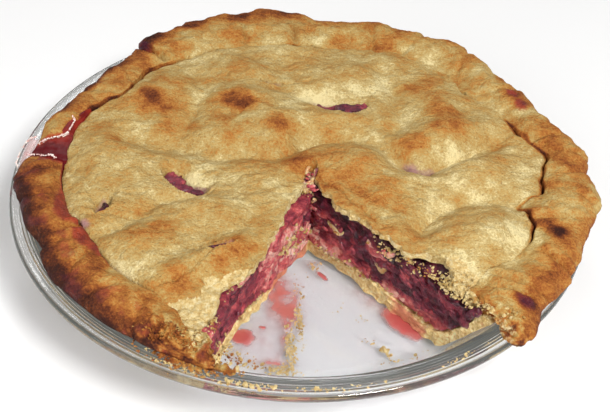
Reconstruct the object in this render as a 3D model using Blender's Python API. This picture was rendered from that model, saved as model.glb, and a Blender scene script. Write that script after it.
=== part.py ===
"""Rhubarb pie in a clear glass pie dish, with about one sixth taken out.

Metres, +Z up.  The origin is the centre of the dish's underside.  Angles are measured
from +X towards +Y, and the open wedge faces -Y, a little to the right.
"""
import math
import random

import bmesh
import bpy
from mathutils import Matrix, Vector, noise

MM = 0.001

# ---- driving dimensions ----
DISH_RADIUS = 120 * MM          # outside of the glass rim
BASE_RADIUS = 88 * MM           # flat underside of the glass
RIM_TOP = 37.4 * MM             # highest line of the glass rim
FLOOR_TOP = 5 * MM              # top of the glass floor
FLANGE_CLEAR = 37.9 * MM        # underside of the crust that lies on the glass rim
GAP = 0.45 * MM                 # kept between pieces that touch
CRUST_FLOOR_TOP = 11 * MM       # top of the bottom crust inside the pie
WALL_TOP = (101 * MM, 36 * MM)  # where the lining crust ends inside, radius and height
LID_THICKNESS = 4.6 * MM
LID_CENTRE_TOP = 46.8 * MM      # height of the lid in the middle
LID_EDGE_TOP = 43.4 * MM        # height of the lid where it meets the rim
SEAM_MEAN = 96 * MM             # usual radius of the seam between lid and rim
DISH_STEPS = 72                 # facets round the glass
PIE_STEPS = 80                  # facets round the pastry and the filling

# ---- the missing piece ----
APEX = Vector((5 * MM, -10 * MM))
LEFT_CUT = math.radians(-112)
RIGHT_CUT = math.radians(-46.5)
CUT_REACH = 150 * MM            # how far the cutters run, past the rim
CUT_STEP = 4 * MM
CUT_LEVELS = (0, 11 * MM, 24 * MM, 37.5 * MM, 60 * MM)

# How far each cut edge stands into the gap (+) or back from it (-), in mm, against the
# distance from the apex in mm.  One row for each layer and side.
CUT_EDGES = {
    "bottom_crust": {
        "left": ((0, -1), (20, -4), (60, -5), (80, -4), (96, 3), (106, 8), (122, 9), (150, 9)),
        "right": ((0, -1), (20, -3), (80, -3), (96, -3), (110, 0), (150, 0)),
    },
    "filling": {
        "left": ((0, 0), (20, -2), (60, -4), (80, -5), (150, -5)),
        "right": ((0, 0), (20, -1), (60, -2.5), (90, -4), (150, -4)),
    },
    "top_crust": {
        "left": ((0, -1), (20, -1), (40, 1.3), (53, 2), (62, 1), (71, -5), (84, -1.5),
                 (92, -3), (150, 0)),
        "right": ((0, 0), (20, 4), (38, 1.7), (58, 0.5), (63, -4), (67, -9), (73, -6),
                  (80, -1), (90, -0.5), (100, -3), (150, -3)),
    },
}
CUT_LEAN = {"bottom_crust": 0.0, "filling": 0.09, "top_crust": 0.0}

# ---- the rim: angle in degrees, seam radius, outer radius and top height in mm ----
RIM = (
    (-46, 95, 123.5, 45.5), (-38, 94, 119, 45.5), (-29, 97, 120.5, 46), (-20, 100, 119.5, 47),
    (-11, 97, 121, 47.5), (-5, 102, 123, 48), (2, 103, 121, 47.5), (10, 103, 123.5, 48),
    (16, 98, 118, 47.5), (24, 97, 115, 47.5), (32, 96, 116, 47.5), (40, 94, 116.5, 48),
    (46, 97, 119, 48), (53, 98, 121.5, 48.2), (62, 98, 119, 48.2), (70, 95, 119.5, 48),
    (78, 92, 115.5, 48), (87, 89, 114, 48.5), (93, 89, 119, 50), (100, 90, 121.5, 50.5),
    (108, 93, 118.5, 50), (120, 94, 118.5, 49.5), (130, 93, 115.5, 49), (136, 93, 110, 47),
    (152, 92, 110, 46), (162, 98, 111, 46.3), (172, 99, 113.5, 46.3), (178, 98, 116.5, 45.5),
    (187, 98, 117, 46.7), (200, 97, 114.5, 47), (209, 95, 112, 46.3), (215, 94, 114.5, 46.7),
    (225, 96, 114, 46.8), (248, 95, 112.5, 45.5), (270, 95, 112.5, 45.5), (314, 95, 123.5, 45.5),
)

# Section across the rolled rim from its outer foot to the seam: share of the width from
# the seam, share of the height above the glass.
ROLL_SECTION = (
    (0.93, 0.03), (1.0, 0.18), (1.0, 0.36), (0.95, 0.6), (0.86, 0.8), (0.72, 0.94),
    (0.55, 1.0), (0.37, 0.97), (0.2, 0.86), (0.07, 0.7),
)

# ---- relief of the lid, in mm: centre x and y, half length, half width, turn, rise ----
SWELLS = (
    (-67, 44, 22, 14, 35, 3.0), (-28, 43, 18, 11, 0, 2.8), (-11, 27, 14, 11, 0, 2.4),
    (-34, 20, 13, 11, 0, 1.6), (-80, 0, 22, 15, 90, 2.6), (-60, -52, 24, 17, -30, 2.6),
    (-34, -60, 30, 7, 38, 3.0), (-33, -36, 16, 12, 20, 1.4), (22, 66, 22, 13, 0, 2.2),
    (-28, 68, 18, 9, -40, 2.2), (60, 50, 16, 11, 80, 2.8), (70, 27, 28, 10, 24, 3.2),
    (73, 1, 20, 13, 15, 2.8), (22, 0, 15, 12, 0, 2.8), (72, -40, 20, 17, 30, 3.2),
    (36, -14, 18, 6, 35, 1.6),
)
# Valleys: half width and depth in mm, then the points along the middle.
VALLEYS = (
    (6, 3.0, ((-74, 12), (-45, 7), (-32, 0), (-16, 6), (-6, 14), (2, 21))),
    (5, 2.4, ((2, 20), (16, 21), (30, 16), (38, 10))),
    (4, 3.6, ((40, 2), (54, 0), (66, 8), (80, 20), (88, 27))),
    (6, 2.6, ((74, -20), (58, -28), (48, -44))),
    (4, 1.8, ((-92, -54), (-70, -47), (-56, -28), (-40, -24))),
)
# Steam vents: half width in mm and the points along the slit.
VENTS = {
    "left": (2.4, ((-55, -10.5), (-47, -18), (-41, -21.5), (-34, -20.5))),
    "middle": (2.2, ((4, 39), (12, 37), (19, 37), (26, 40.5))),
    "right": (1.4, ((42, 0.5), (48, -2.5), (54, -2.5))),
    "front_left": (1.5, ((-38, -55.5), (-31, -54.5), (-24.5, -50.5))),
    "back": (1.1, ((-20, 58), (-13, 56))),
    "torn": (1.8, ((-78, -37), (-74.5, -35))),
}

# ---- red juice set hard in a break of the rim, angles and radii ----
BREAK_ANGLES = (math.radians(170.5), math.radians(181.5))
BREAK_RADII = (97 * MM, 125 * MM)
BREAK_FLOOR = 40 * MM
JUICE_RADII = (100.4 * MM, 117 * MM)
JUICE_TOP = 42.6 * MM

# ---- rhubarb pieces that stand out of the two cut faces ----
CHUNKS_PER_FACE = 14
CHUNK_HALF_SIZE = ((5.0, 7.5), (3.0, 4.4), (2.6, 3.4))   # mm, ranges of the half sizes
CHUNK_START = 12 * MM                                    # first one, from the apex
CHUNK_SUNK = 0.8 * MM                                    # centre behind the cut face
CHUNK_HEIGHTS = (17 * MM, 32 * MM)                       # centre heights


def clear_scene():
    for thing in list(bpy.data.objects):
        bpy.data.objects.remove(thing, do_unlink=True)


def smooth_step(t):
    t = min(1.0, max(0.0, t))
    return t * t * (3 - 2 * t)


def read_along(rows, at):
    """Values of a table whose first column rises, blended softly between its rows."""
    if at <= rows[0][0]:
        return rows[0][1:]
    for low, high in zip(rows, rows[1:]):
        if at <= high[0]:
            share = smooth_step((at - low[0]) / (high[0] - low[0]))
            return tuple(a + (b - a) * share for a, b in zip(low[1:], high[1:]))
    return rows[-1][1:]


def rim_at(angle):
    """Seam radius, outer radius and top height of the rim at an angle, in metres."""
    degrees = (math.degrees(angle) + 46) % 360 - 46
    seam, outer, top = read_along(RIM, degrees)
    ripple = noise.noise(Vector((3.2 * math.cos(angle), 3.2 * math.sin(angle), 4.0)) * 2.2)
    return (seam + 0.8 * ripple) * MM, (outer + 0.9 * ripple) * MM, (top + 0.8 * ripple) * MM


def distance_to_path(x, y, path):
    here = Vector((x, y))
    nearest = 1e9
    for start, end in zip(path, path[1:]):
        start, end = Vector(start), Vector(end)
        run = end - start
        share = min(1.0, max(0.0, (here - start).dot(run) / run.length_squared))
        nearest = min(nearest, (here - start - run * share).length)
    return nearest


def lid_top(x, y):
    """Height of the lid's upper face, with its swells and valleys."""
    x, y = x / MM, y / MM
    radius = math.hypot(x, y)
    fall = min(1.0, radius * MM / SEAM_MEAN) ** 2
    height = LID_CENTRE_TOP / MM + (LID_EDGE_TOP - LID_CENTRE_TOP) / MM * fall
    relief = 0.0
    for cx, cy, length, width, turn, rise in SWELLS:
        cosine, sine = math.cos(math.radians(turn)), math.sin(math.radians(turn))
        along = ((x - cx) * cosine + (y - cy) * sine) / length
        across = ((y - cy) * cosine - (x - cx) * sine) / width
        relief += rise * math.exp(-1.2 * (along * along + across * across))
    for width, depth, path in VALLEYS:
        relief -= depth * math.exp(-(distance_to_path(x, y, path) / width) ** 2)
    relief += 0.7 * noise.noise(Vector((x, y, 0)) * 0.075)
    calm = smooth_step((SEAM_MEAN / MM + 4 - radius) / 14)
    return (height + relief * calm) * MM


def turned(name, section, steps):
    """A body turned about Z whose half section may change with the angle.

    section(angle) gives the same number of (radius, height) points at every angle, from
    the axis out and back to the axis.
    """
    bm = bmesh.new()
    station = bm.verts.layers.int.new("station")
    first = []
    for number, (radius, height) in enumerate(section(0.0)):
        vert = bm.verts.new((radius, 0, height))
        vert[station] = number
        first.append(vert)
    for start, end in zip(first, first[1:]):
        bm.edges.new((start, end))
    bmesh.ops.spin(bm, geom=bm.verts[:] + bm.edges[:], cent=(0, 0, 0), axis=(0, 0, 1),
                   angle=math.tau, steps=steps, use_merge=True, use_duplicate=False)
    for vert in bm.verts:
        angle = math.atan2(vert.co.y, vert.co.x)
        radius, height = section(angle)[vert[station]]
        vert.co = (radius * math.cos(angle), radius * math.sin(angle), height)
    bmesh.ops.remove_doubles(bm, verts=bm.verts[:], dist=0.01 * MM)
    bmesh.ops.recalc_face_normals(bm, faces=bm.faces[:])
    bmesh.ops.triangulate(bm, faces=bm.faces[:])
    return finished(name, bm)


def finished(name, bm):
    mesh = bpy.data.meshes.new(name)
    bm.to_mesh(mesh)
    bm.free()
    body = bpy.data.objects.new(name, mesh)
    bpy.context.scene.collection.objects.link(body)
    return body


def dress(body, colour, roughness, transmission=0.0, sharp_angle=35):
    """Give a body its own material and smooth shading with sharp edges kept."""
    made = bpy.data.materials.new(body.name)
    made.use_nodes = True
    shader = made.node_tree.nodes["Principled BSDF"]
    shader.inputs["Base Color"].default_value = (*colour, 1)
    shader.inputs["Roughness"].default_value = roughness
    shader.inputs["Metallic"].default_value = 0
    shader.inputs["Transmission Weight"].default_value = transmission
    body.data.materials.append(made)
    body.data.shade_smooth()
    body.data.set_sharp_from_angle(angle=math.radians(sharp_angle))


def hide_tool(body):
    body.hide_render = True
    body.display_type = 'WIRE'


def add_boolean(body, name, operation, tool=None, tools=None):
    change = body.modifiers.new(name, 'BOOLEAN')
    change.operation = operation
    change.solver = 'EXACT'
    if tools is None:
        change.object = tool
    else:
        change.operand_type = 'COLLECTION'
        change.collection = tools


def apply_modifiers(body):
    view = bpy.context.evaluated_depsgraph_get()
    mesh = bpy.data.meshes.new_from_object(body.evaluated_get(view))
    body.modifiers.clear()
    body.data = mesh


# ---- the missing piece as a tool ----

def cut_frame(side):
    """Direction along a cut and direction from it into the gap."""
    angle = LEFT_CUT if side == "left" else RIGHT_CUT
    along = Vector((math.cos(angle), math.sin(angle)))
    inward = Vector((-along.y, along.x)) if side == "left" else Vector((along.y, -along.x))
    return along, inward


def cut_point(layer, side, distance, height):
    """A point of one layer's cut face."""
    along, inward = cut_frame(side)
    stand = read_along(CUT_EDGES[layer][side], distance / MM)[0] * MM
    lean = CUT_LEAN[layer] * (height - CUT_LEVELS[2])
    shift = 0.0 if side == "left" else 7.0
    ragged = noise.noise(Vector((distance / MM * 0.21 + shift, height / MM * 0.11, len(layer))))
    grow = smooth_step(distance / (10 * MM))
    flat = APEX + along * distance + inward * (stand + lean + 1.3 * MM * ragged) * grow
    return Vector((flat.x, flat.y, height))


def wedge_tool(layer):
    """The air of the missing piece, as one layer meets it."""
    bm = bmesh.new()
    station = bm.verts.layers.int.new("station")
    count = round(CUT_REACH / CUT_STEP)
    stations = [("left", n * CUT_STEP) for n in range(count + 1)]
    stations += [("right", n * CUT_STEP) for n in range(count, 0, -1)]
    outline = []
    for number, (side, distance) in enumerate(stations):
        vert = bm.verts.new(cut_point(layer, side, distance, CUT_LEVELS[0]))
        vert[station] = number
        outline.append(vert)
    face = bm.faces.new(outline)
    for level in CUT_LEVELS[1:]:
        made = bmesh.ops.extrude_face_region(bm, geom=[face])
        for vert in [g for g in made["geom"] if isinstance(g, bmesh.types.BMVert)]:
            side, distance = stations[vert[station]]
            vert.co = cut_point(layer, side, distance, level)
        raised = [g for g in made["geom"] if isinstance(g, bmesh.types.BMFace)][0]
        if level != CUT_LEVELS[1]:
            bm.faces.remove(face)
        face = raised
    bmesh.ops.recalc_face_normals(bm, faces=bm.faces[:])
    bmesh.ops.triangulate(bm, faces=bm.faces[:])
    tool = finished(layer + "_cutter", bm)
    hide_tool(tool)
    return tool


# ---- pieces ----

def glass_dish():
    """Clear pressed glass: flat base, sloping wall, flat rim with a round lip."""
    rim, base, top, floor = (size / MM for size in (DISH_RADIUS, BASE_RADIUS, RIM_TOP, FLOOR_TOP))
    outside = [(0, 0), (60, 0), (base, 0), (base + 3.5, 1.4), (102, 16.5), (112, 31),
               (114.5, 32.8), (rim - 1.8, top - 4), (rim - 0.3, top - 3), (rim, top - 1.7)]
    inside = [(rim - 0.6, top - 0.4), (rim - 2, top), (112, top - 0.3), (109.8, top - 0.7),
              (108.4, 35.3), (98.5, 21.5), (88.5, 7.5), (86.2, floor + 0.5), (83, floor),
              (50, floor), (0, floor)]
    points = [(radius * MM, height * MM) for radius, height in outside + inside]
    dish = turned("glass_dish", lambda angle: points, DISH_STEPS)
    dress(dish, (0.86, 0.88, 0.88), 0.03, transmission=1.0)


def bottom_crust():
    """Lining of floor and wall, and its overhang rolled up over the edge of the lid."""
    def section(angle):
        seam, outer, top = rim_at(angle)
        x, y = seam * math.cos(angle), seam * math.sin(angle)
        lid_under = lid_top(x, y) - LID_THICKNESS
        wall = [(0, FLOOR_TOP + GAP), (50 * MM, FLOOR_TOP + GAP), (83 * MM, FLOOR_TOP + GAP),
                (86 * MM, 6.1 * MM), (88 * MM, 7.9 * MM), (98 * MM, 21.7 * MM),
                (107.8 * MM, 35.5 * MM), (109.2 * MM, FLANGE_CLEAR)]
        roll = [(seam + (outer - seam) * across, FLANGE_CLEAR + (top - FLANGE_CLEAR) * up)
                for across, up in ROLL_SECTION]
        inside = [(seam + 0.3 * MM, lid_under + LID_THICKNESS - 0.6 * MM),
                  (seam, lid_under - 0.6 * MM), WALL_TOP, (91.6 * MM, 21.5 * MM),
                  (84 * MM, 12.8 * MM), (79 * MM, CRUST_FLOOR_TOP),
                  (45 * MM, CRUST_FLOOR_TOP), (0, CRUST_FLOOR_TOP)]
        return wall + roll + inside

    crust = turned("bottom_crust", section, PIE_STEPS)
    add_boolean(crust, "missing piece", 'DIFFERENCE', tool=wedge_tool("bottom_crust"))
    add_boolean(crust, "broken rim", 'DIFFERENCE', tool=break_tool())
    dress(crust, (0.52, 0.29, 0.12), 0.65)


def ring_radii(angle):
    """Radii at which the lid's underside and the filling's top have their points."""
    limit = min(rim_at(angle)[0], WALL_TOP[0]) - 1 * MM
    return [limit * share for share in (0, 0.16, 0.32, 0.48, 0.63, 0.77, 0.89, 1.0)]


def filling():
    """Stewed rhubarb up to the lid, with pieces of stalk standing out of the cut faces."""
    def section(angle):
        cosine, sine = math.cos(angle), math.sin(angle)
        top = []
        for radius in ring_radii(angle):
            edge = smooth_step((radius - 78 * MM) / (18 * MM))
            drop = LID_THICKNESS + GAP + 1.3 * MM * edge
            top.append((radius, lid_top(radius * cosine, radius * sine) - drop))
        floor = CRUST_FLOOR_TOP + GAP
        return top + [(WALL_TOP[0] - 1.6 * MM, WALL_TOP[1] - 1.6 * MM), (91 * MM, 22 * MM),
                      (83.6 * MM, 13.6 * MM), (78.8 * MM, floor), (40 * MM, floor), (0, floor)]

    body = turned("filling", section, PIE_STEPS)
    add_boolean(body, "missing piece", 'DIFFERENCE', tool=wedge_tool("filling"))
    apply_modifiers(body)
    chunks = bpy.data.collections.new("chunks")
    bpy.context.scene.collection.children.link(chunks)
    draw = random.Random(11)
    for side in ("left", "right"):
        for number in range(CHUNKS_PER_FACE):
            add_chunk(chunks, side, number, draw)
    add_boolean(body, "chunks", 'UNION', tools=chunks)
    apply_modifiers(body)
    for chunk in list(chunks.objects):
        bpy.data.objects.remove(chunk, do_unlink=True)
    bpy.data.collections.remove(chunks)
    dress(body, (0.19, 0.03, 0.05), 0.25)


def wall_radius(height):
    """Inner radius of the lining crust at a height."""
    low, high = (79 * MM, CRUST_FLOOR_TOP), WALL_TOP
    share = min(1.0, max(0.0, (height - low[1]) / (high[1] - low[1])))
    return low[0] + (high[0] - low[0]) * share


def add_chunk(chunks, side, number, draw):
    """One softened stalk piece, half sunk in a cut face of the filling."""
    row = number % 3
    room = CHUNK_HEIGHTS[1] - CHUNK_HEIGHTS[0]
    height = CHUNK_HEIGHTS[0] + room * (row + draw.uniform(0.2, 0.8)) / 3
    long, tall, deep = [draw.uniform(*limits) * MM for limits in CHUNK_HALF_SIZE]
    end = wall_radius(height) - APEX.length - long
    share = (number + draw.uniform(0.15, 0.85)) / CHUNKS_PER_FACE
    distance = CHUNK_START + (end - CHUNK_START) * share
    along, inward = cut_frame(side)
    bm = bmesh.new()
    bmesh.ops.create_icosphere(bm, subdivisions=1, radius=1)
    for vert in bm.verts:
        vert.co *= 1 + 0.12 * noise.noise(vert.co * 1.7 + Vector((number, 0, 0)))
    facing = Matrix(((along.x, -inward.x, 0, 0), (along.y, -inward.y, 0, 0),
                     (0, 0, 1, 0), (0, 0, 0, 1)))
    tilt = Matrix.Rotation(math.radians(draw.uniform(-35, 35)), 4, 'Y')
    size = Matrix.Diagonal((long, deep, tall, 1))
    bmesh.ops.transform(bm, matrix=facing @ tilt @ size, verts=bm.verts[:])
    if facing.determinant() < 0:
        bmesh.ops.reverse_faces(bm, faces=bm.faces[:])
    centre = cut_point("filling", side, distance, height)
    centre -= Vector((inward.x, inward.y, 0)) * CHUNK_SUNK
    bmesh.ops.translate(bm, vec=centre, verts=bm.verts[:])
    chunk = finished(f"chunk_{side}_{number}", bm)
    bpy.context.scene.collection.objects.unlink(chunk)
    chunks.objects.link(chunk)


def top_crust():
    """Rolled-out lid with swells over the fruit, valleys between them and steam vents."""
    shares = (1.0, 0.93, 0.86, 0.8, 0.74, 0.68, 0.62, 0.56, 0.5, 0.44, 0.38, 0.32, 0.26, 0.2,
              0.13, 0.06, 0)

    def section(angle):
        cosine, sine = math.cos(angle), math.sin(angle)
        edge = rim_at(angle)[0] - GAP

        def under(radius):
            return (radius, lid_top(radius * cosine, radius * sine) - LID_THICKNESS)

        def over(radius):
            return (radius, lid_top(radius * cosine, radius * sine))

        return ([under(radius) for radius in ring_radii(angle)] + [under(edge)]
                + [over(edge * share) for share in shares])

    lid = turned("top_crust", section, PIE_STEPS)
    add_boolean(lid, "missing piece", 'DIFFERENCE', tool=wedge_tool("top_crust"))
    for name, (half_width, path) in VENTS.items():
        add_boolean(lid, "vent " + name, 'DIFFERENCE', tool=vent_tool(name, half_width, path))
    dress(lid, (0.56, 0.38, 0.17), 0.7)


def vent_tool(name, half_width, path):
    """A slit that tapers to both ends, standing right through the lid."""
    bm = bmesh.new()
    count = 2 * len(path)
    lengths = [0.0]
    for start, end in zip(path, path[1:]):
        lengths.append(lengths[-1] + (Vector(end) - Vector(start)).length)
    upper, lower = [], []
    for number in range(count + 1):
        share = number / count
        point, direction = point_on_path(path, lengths, share * lengths[-1])
        aside = Vector((-direction.y, direction.x)) * half_width * math.sin(math.pi * share) ** 0.7
        if number in (0, count):
            upper.append(point)
        else:
            upper.append(point + aside)
            lower.append(point - aside)
    outline = [bm.verts.new((p.x * MM, p.y * MM, 30 * MM)) for p in upper + lower[::-1]]
    face = bm.faces.new(outline)
    made = bmesh.ops.extrude_face_region(bm, geom=[face])
    raised = [g for g in made["geom"] if isinstance(g, bmesh.types.BMVert)]
    bmesh.ops.translate(bm, vec=(0, 0, 30 * MM), verts=raised)
    bmesh.ops.recalc_face_normals(bm, faces=bm.faces[:])
    bmesh.ops.triangulate(bm, faces=bm.faces[:])
    tool = finished("vent_cutter_" + name, bm)
    hide_tool(tool)
    return tool


def point_on_path(path, lengths, distance):
    for number, (start, end) in enumerate(zip(path, path[1:])):
        if distance <= lengths[number + 1] or number == len(path) - 2:
            start, end = Vector(start), Vector(end)
            share = (distance - lengths[number]) / (lengths[number + 1] - lengths[number])
            return start.lerp(end, min(1.0, share)), (end - start).normalized()


def sector(name, angles, radii, low, high, steps=6):
    """A block between two angles and two radii, from one height to another."""
    bm = bmesh.new()
    turns = [angles[0] + (angles[1] - angles[0]) * n / steps for n in range(steps + 1)]
    outline = [(radii[0], turn) for turn in turns] + [(radii[1], turn) for turn in turns[::-1]]
    verts = [bm.verts.new((r * math.cos(t), r * math.sin(t), low)) for r, t in outline]
    made = bmesh.ops.extrude_face_region(bm, geom=[bm.faces.new(verts)])
    raised = [g for g in made["geom"] if isinstance(g, bmesh.types.BMVert)]
    bmesh.ops.translate(bm, vec=(0, 0, high - low), verts=raised)
    bmesh.ops.recalc_face_normals(bm, faces=bm.faces[:])
    bmesh.ops.triangulate(bm, faces=bm.faces[:])
    return finished(name, bm)


def break_tool():
    """The place at the left where the rolled rim has burst open."""
    tool = sector("break_cutter", BREAK_ANGLES, BREAK_RADII, BREAK_FLOOR, 60 * MM)
    hide_tool(tool)
    return tool


def leaked_juice():
    """Red juice that boiled out through the break and set there."""
    margin = GAP / BREAK_RADII[0]
    angles = (BREAK_ANGLES[0] + margin, BREAK_ANGLES[1] - margin)
    pool = sector("leaked_juice", angles, JUICE_RADII, BREAK_FLOOR + GAP, JUICE_TOP)
    dress(pool, (0.32, 0.02, 0.015), 0.08)


clear_scene()
glass_dish()
bottom_crust()
filling()
top_crust()
leaked_juice()
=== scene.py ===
"""Rhubarb pie in its clear glass dish, one sixth taken out, in the order it is put together."""
import math
import random

import bmesh
import bpy
from mathutils import Matrix, Vector, noise


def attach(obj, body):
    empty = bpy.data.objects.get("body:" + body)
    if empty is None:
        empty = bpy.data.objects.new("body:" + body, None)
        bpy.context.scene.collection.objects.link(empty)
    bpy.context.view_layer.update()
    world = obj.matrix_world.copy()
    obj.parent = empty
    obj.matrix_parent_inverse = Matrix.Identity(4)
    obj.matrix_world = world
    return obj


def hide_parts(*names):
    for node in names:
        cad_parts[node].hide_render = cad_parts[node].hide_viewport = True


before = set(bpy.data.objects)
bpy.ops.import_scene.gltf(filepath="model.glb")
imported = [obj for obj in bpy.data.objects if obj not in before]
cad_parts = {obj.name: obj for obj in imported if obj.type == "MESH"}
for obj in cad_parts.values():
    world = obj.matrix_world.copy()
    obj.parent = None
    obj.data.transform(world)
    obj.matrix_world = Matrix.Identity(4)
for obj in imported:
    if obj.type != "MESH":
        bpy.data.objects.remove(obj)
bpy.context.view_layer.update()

# ---- glass dish ----
# A clear pressed-glass pie dish with a flat base, a sloping wall and a flat rim that ends in
# a rounded lip.  It is one piece, pressed in a mould whose turning marks show as fine rings.

MM = 0.001
DISH_STEPS = 240
DISH_FLOOR = 5         # height of the glass under the pie
FLANGE_HEIGHT = 37.6   # just over the flange


def display_colour(red, green, blue):
    """A colour given as it looks on a screen, 0 to 255, as the light it stands for."""
    def light(value):
        value /= 255
        return value / 12.92 if value <= 0.04045 else ((value + 0.055) / 1.055) ** 2.4
    return light(red), light(green), light(blue), 1.0


class Wire:
    """The output of a shader node.  Arithmetic on it adds Math nodes."""

    def __init__(self, tree, socket):
        self.tree, self.socket = tree, socket

    def node(self, kind, settings=None, sockets=None, out=0):
        """Any other node: its settings are set first, then its sockets' values or links."""
        made = self.tree.nodes.new("ShaderNode" + kind)
        for name, value in (settings or {}).items():
            if name == "stops":
                ramp = made.color_ramp
                ramp.elements[0].position, ramp.elements[0].color = value[0]
                ramp.elements[1].position, ramp.elements[1].color = value[-1]
                for place, colour in value[1:-1]:
                    ramp.elements.new(place).color = colour
            else:
                setattr(made, name, value)
        for name, value in (sockets or {}).items():
            if isinstance(value, Wire):
                self.tree.links.new(value.socket, made.inputs[name])
            else:
                made.inputs[name].default_value = value
        return Wire(self.tree, made.outputs[out])

    def math(self, operation, *values):
        """One sum on values or wires."""
        return self.node("Math", {"operation": operation}, dict(enumerate(values)))

    def __add__(self, other):
        return self.math('ADD', self, other)

    def __radd__(self, other):
        return self.math('ADD', other, self)

    def __sub__(self, other):
        return self.math('SUBTRACT', self, other)

    def __rsub__(self, other):
        return self.math('SUBTRACT', other, self)

    def __mul__(self, other):
        return self.math('MULTIPLY', self, other)

    def __rmul__(self, other):
        return self.math('MULTIPLY', other, self)

    def between(self, low, high):
        """0 at low, 1 at high, softly blended and held outside."""
        return self.node("MapRange", {"interpolation_type": 'SMOOTHSTEP'},
                         {"Value": self, "From Min": low, "From Max": high})

    def speckle(self, size, detail=2.0, rough=0.5):
        """Noise about 0.5 whose grains are this big; self is the place it is read at."""
        return self.node("TexNoise", None, {"Vector": self, "Scale": 1 / size,
                                            "Detail": detail, "Roughness": rough})

    def mottle(self, size, detail=2.0, rough=0.5):
        """The same noise about nothing, which pushes a value up and down."""
        return self.speckle(size, detail, rough) - 0.5

    def ramp(self, *stops):
        """The colour of this value between stops, each a place with red, green and blue."""
        return self.node("ValToRGB", {"stops": [(at, display_colour(*colour))
                                                for at, *colour in stops]}, {"Fac": self})

    def plain(self, red, green, blue):
        """One colour, the same all over."""
        made = self.node("RGB")
        made.socket.default_value = display_colour(red, green, blue)
        return made

    def over(self, under, share):
        """This colour laid over another by a share."""
        return self.node("Mix", {"data_type": 'RGBA'}, {0: share, 6: under, 7: self}, out=2)

    def stretch(self, scale):
        """A place scaled along each axis, so that a pattern read there is drawn out."""
        return self.node("VectorMath", {"operation": 'MULTIPLY'}, {0: self, 1: scale})


def new_material(name, **surface):
    """A Principled material; returns it with the wires to its place and from its shader."""
    made = bpy.data.materials.new(name)
    made.use_nodes = True
    tree = made.node_tree
    shader = tree.nodes["Principled BSDF"]
    for socket, value in surface.items():
        shader.inputs[socket.replace("_", " ")].default_value = value
    place = Wire(tree, None).node("TexCoord", out="Object")
    return made, place, shader


def feed(shader, **wires):
    """Links wires to a shader's sockets."""
    for socket, wire in wires.items():
        wire.tree.links.new(wire.socket, shader.inputs[socket.replace("_", " ")])


def painted(place, name):
    """A value painted on the mesh."""
    return place.node("Attribute", {"attribute_name": name}, out="Fac")


def bump(height, depth, strength=1.0):
    """Relief this deep, from a height between 0 and 1."""
    return height.node("Bump", None, {"Height": height, "Distance": depth,
                                      "Strength": strength})


def make_piece(name, bm, material, replaced=(), sharp=50):
    """Turns millimetres into metres and puts the piece on the pie."""
    bmesh.ops.scale(bm, vec=(MM, MM, MM), verts=bm.verts[:])
    mesh = bpy.data.meshes.new(name)
    bm.to_mesh(mesh)
    bm.free()
    mesh.shade_smooth()
    mesh.set_sharp_from_angle(angle=math.radians(sharp))
    mesh.materials.append(material)
    piece = bpy.data.objects.new(name, mesh)
    bpy.context.scene.collection.objects.link(piece)
    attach(piece, "root")
    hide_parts(*replaced)
    return piece


def pressed_glass():
    """Clear glass with a faint grey-green cast and a faint painted glow; it lets the lamps' light
    through.
    """
    # the emission is painted light: a faint grey-green glow of the glass itself
    material, place, shader = new_material(
        "pressed_glass", Base_Color=(0.865, 0.87, 0.865, 1), IOR=1.45, Transmission_Weight=1.0,
        Emission_Color=(0.75, 0.78, 0.72, 1), Emission_Strength=0.025)
    smears = place.speckle(14 * MM, 4, 0.6).between(0.45, 0.75)
    feed(shader, Roughness=smears * 0.05 + 0.008,
         Normal=bump(place.speckle(22 * MM, 2), 0.25 * MM, 0.5))
    tree = material.node_tree
    lamp_ray = place.node("LightPath", out="Is Shadow Ray")
    through = place.node("BsdfTransparent", None, {"Color": (0.345, 0.335, 0.36, 1)})
    glass = Wire(tree, shader.outputs[0])
    mixed = place.node("MixShader", None, {0: lamp_ray, 1: glass, 2: through})
    tree.links.new(mixed.socket, tree.nodes["Material Output"].inputs["Surface"])
    return material


def turned_dish():
    """The dish's section, from under the base over the rim to the floor, spun once round."""
    outside = [(0, 0), (40, 0), (80, 0), (87, 0), (89.3, 0.25), (90.9, 1.0), (92.3, 2.4)]
    outside += [(92.3 + 19.6 * n / 8, 2.4 + 28.4 * n / 8) for n in range(1, 8)]
    outside += [(111.9, 30.8), (112.8, 31.9), (113.9, 32.6), (115.2, 32.95), (116.2, 33.3),
                (117.6, 33.3), (118.9, 33.7), (119.7, 34.5), (120.0, 35.6), (119.7, 36.6),
                (119.0, 37.25), (118.2, 37.4)]
    outside += [(117.7 - 0.36 * n, 37.0 + 0.16 * math.cos(1.9 * n)) for n in range(18)]
    outside += [(111.0, 36.85), (110.1, 36.6), (109.2, 36.0), (108.4, 35.0)]
    wall = [(108.4 - 19.4 * n / 24, 35.0 - 27.4 * n / 24 + 0.1 * math.cos(2.2 * n))
            for n in range(1, 24)] + [(89.0, 7.6)]
    inside = [(88.2, 6.7), (87.1, 5.9), (85.6, 5.3), (83.5, 5.05), (81, 5), (40, 5), (0, 5)]
    bm = bmesh.new()
    line = [bm.verts.new((radius, 0, height)) for radius, height in outside + wall + inside]
    edges = [bm.edges.new(pair) for pair in zip(line, line[1:])]
    bmesh.ops.spin(bm, geom=line + edges, cent=(0, 0, 0), axis=(0, 0, 1), angle=math.tau,
                   steps=DISH_STEPS, use_merge=True, use_duplicate=False)
    bmesh.ops.remove_doubles(bm, verts=bm.verts[:], dist=0.01)
    bmesh.ops.recalc_face_normals(bm, faces=bm.faces[:])
    return bm


make_piece("clear_glass_dish", turned_dish(), pressed_glass(), ["glass_dish"], 60)

# ---- rolled rim ----
# The overhang of the bottom crust, folded up over the edge of the lid and rolled by hand.  It
# baked darkest on the outside, cracked where the fingers pressed and burst open at the left.

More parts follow.
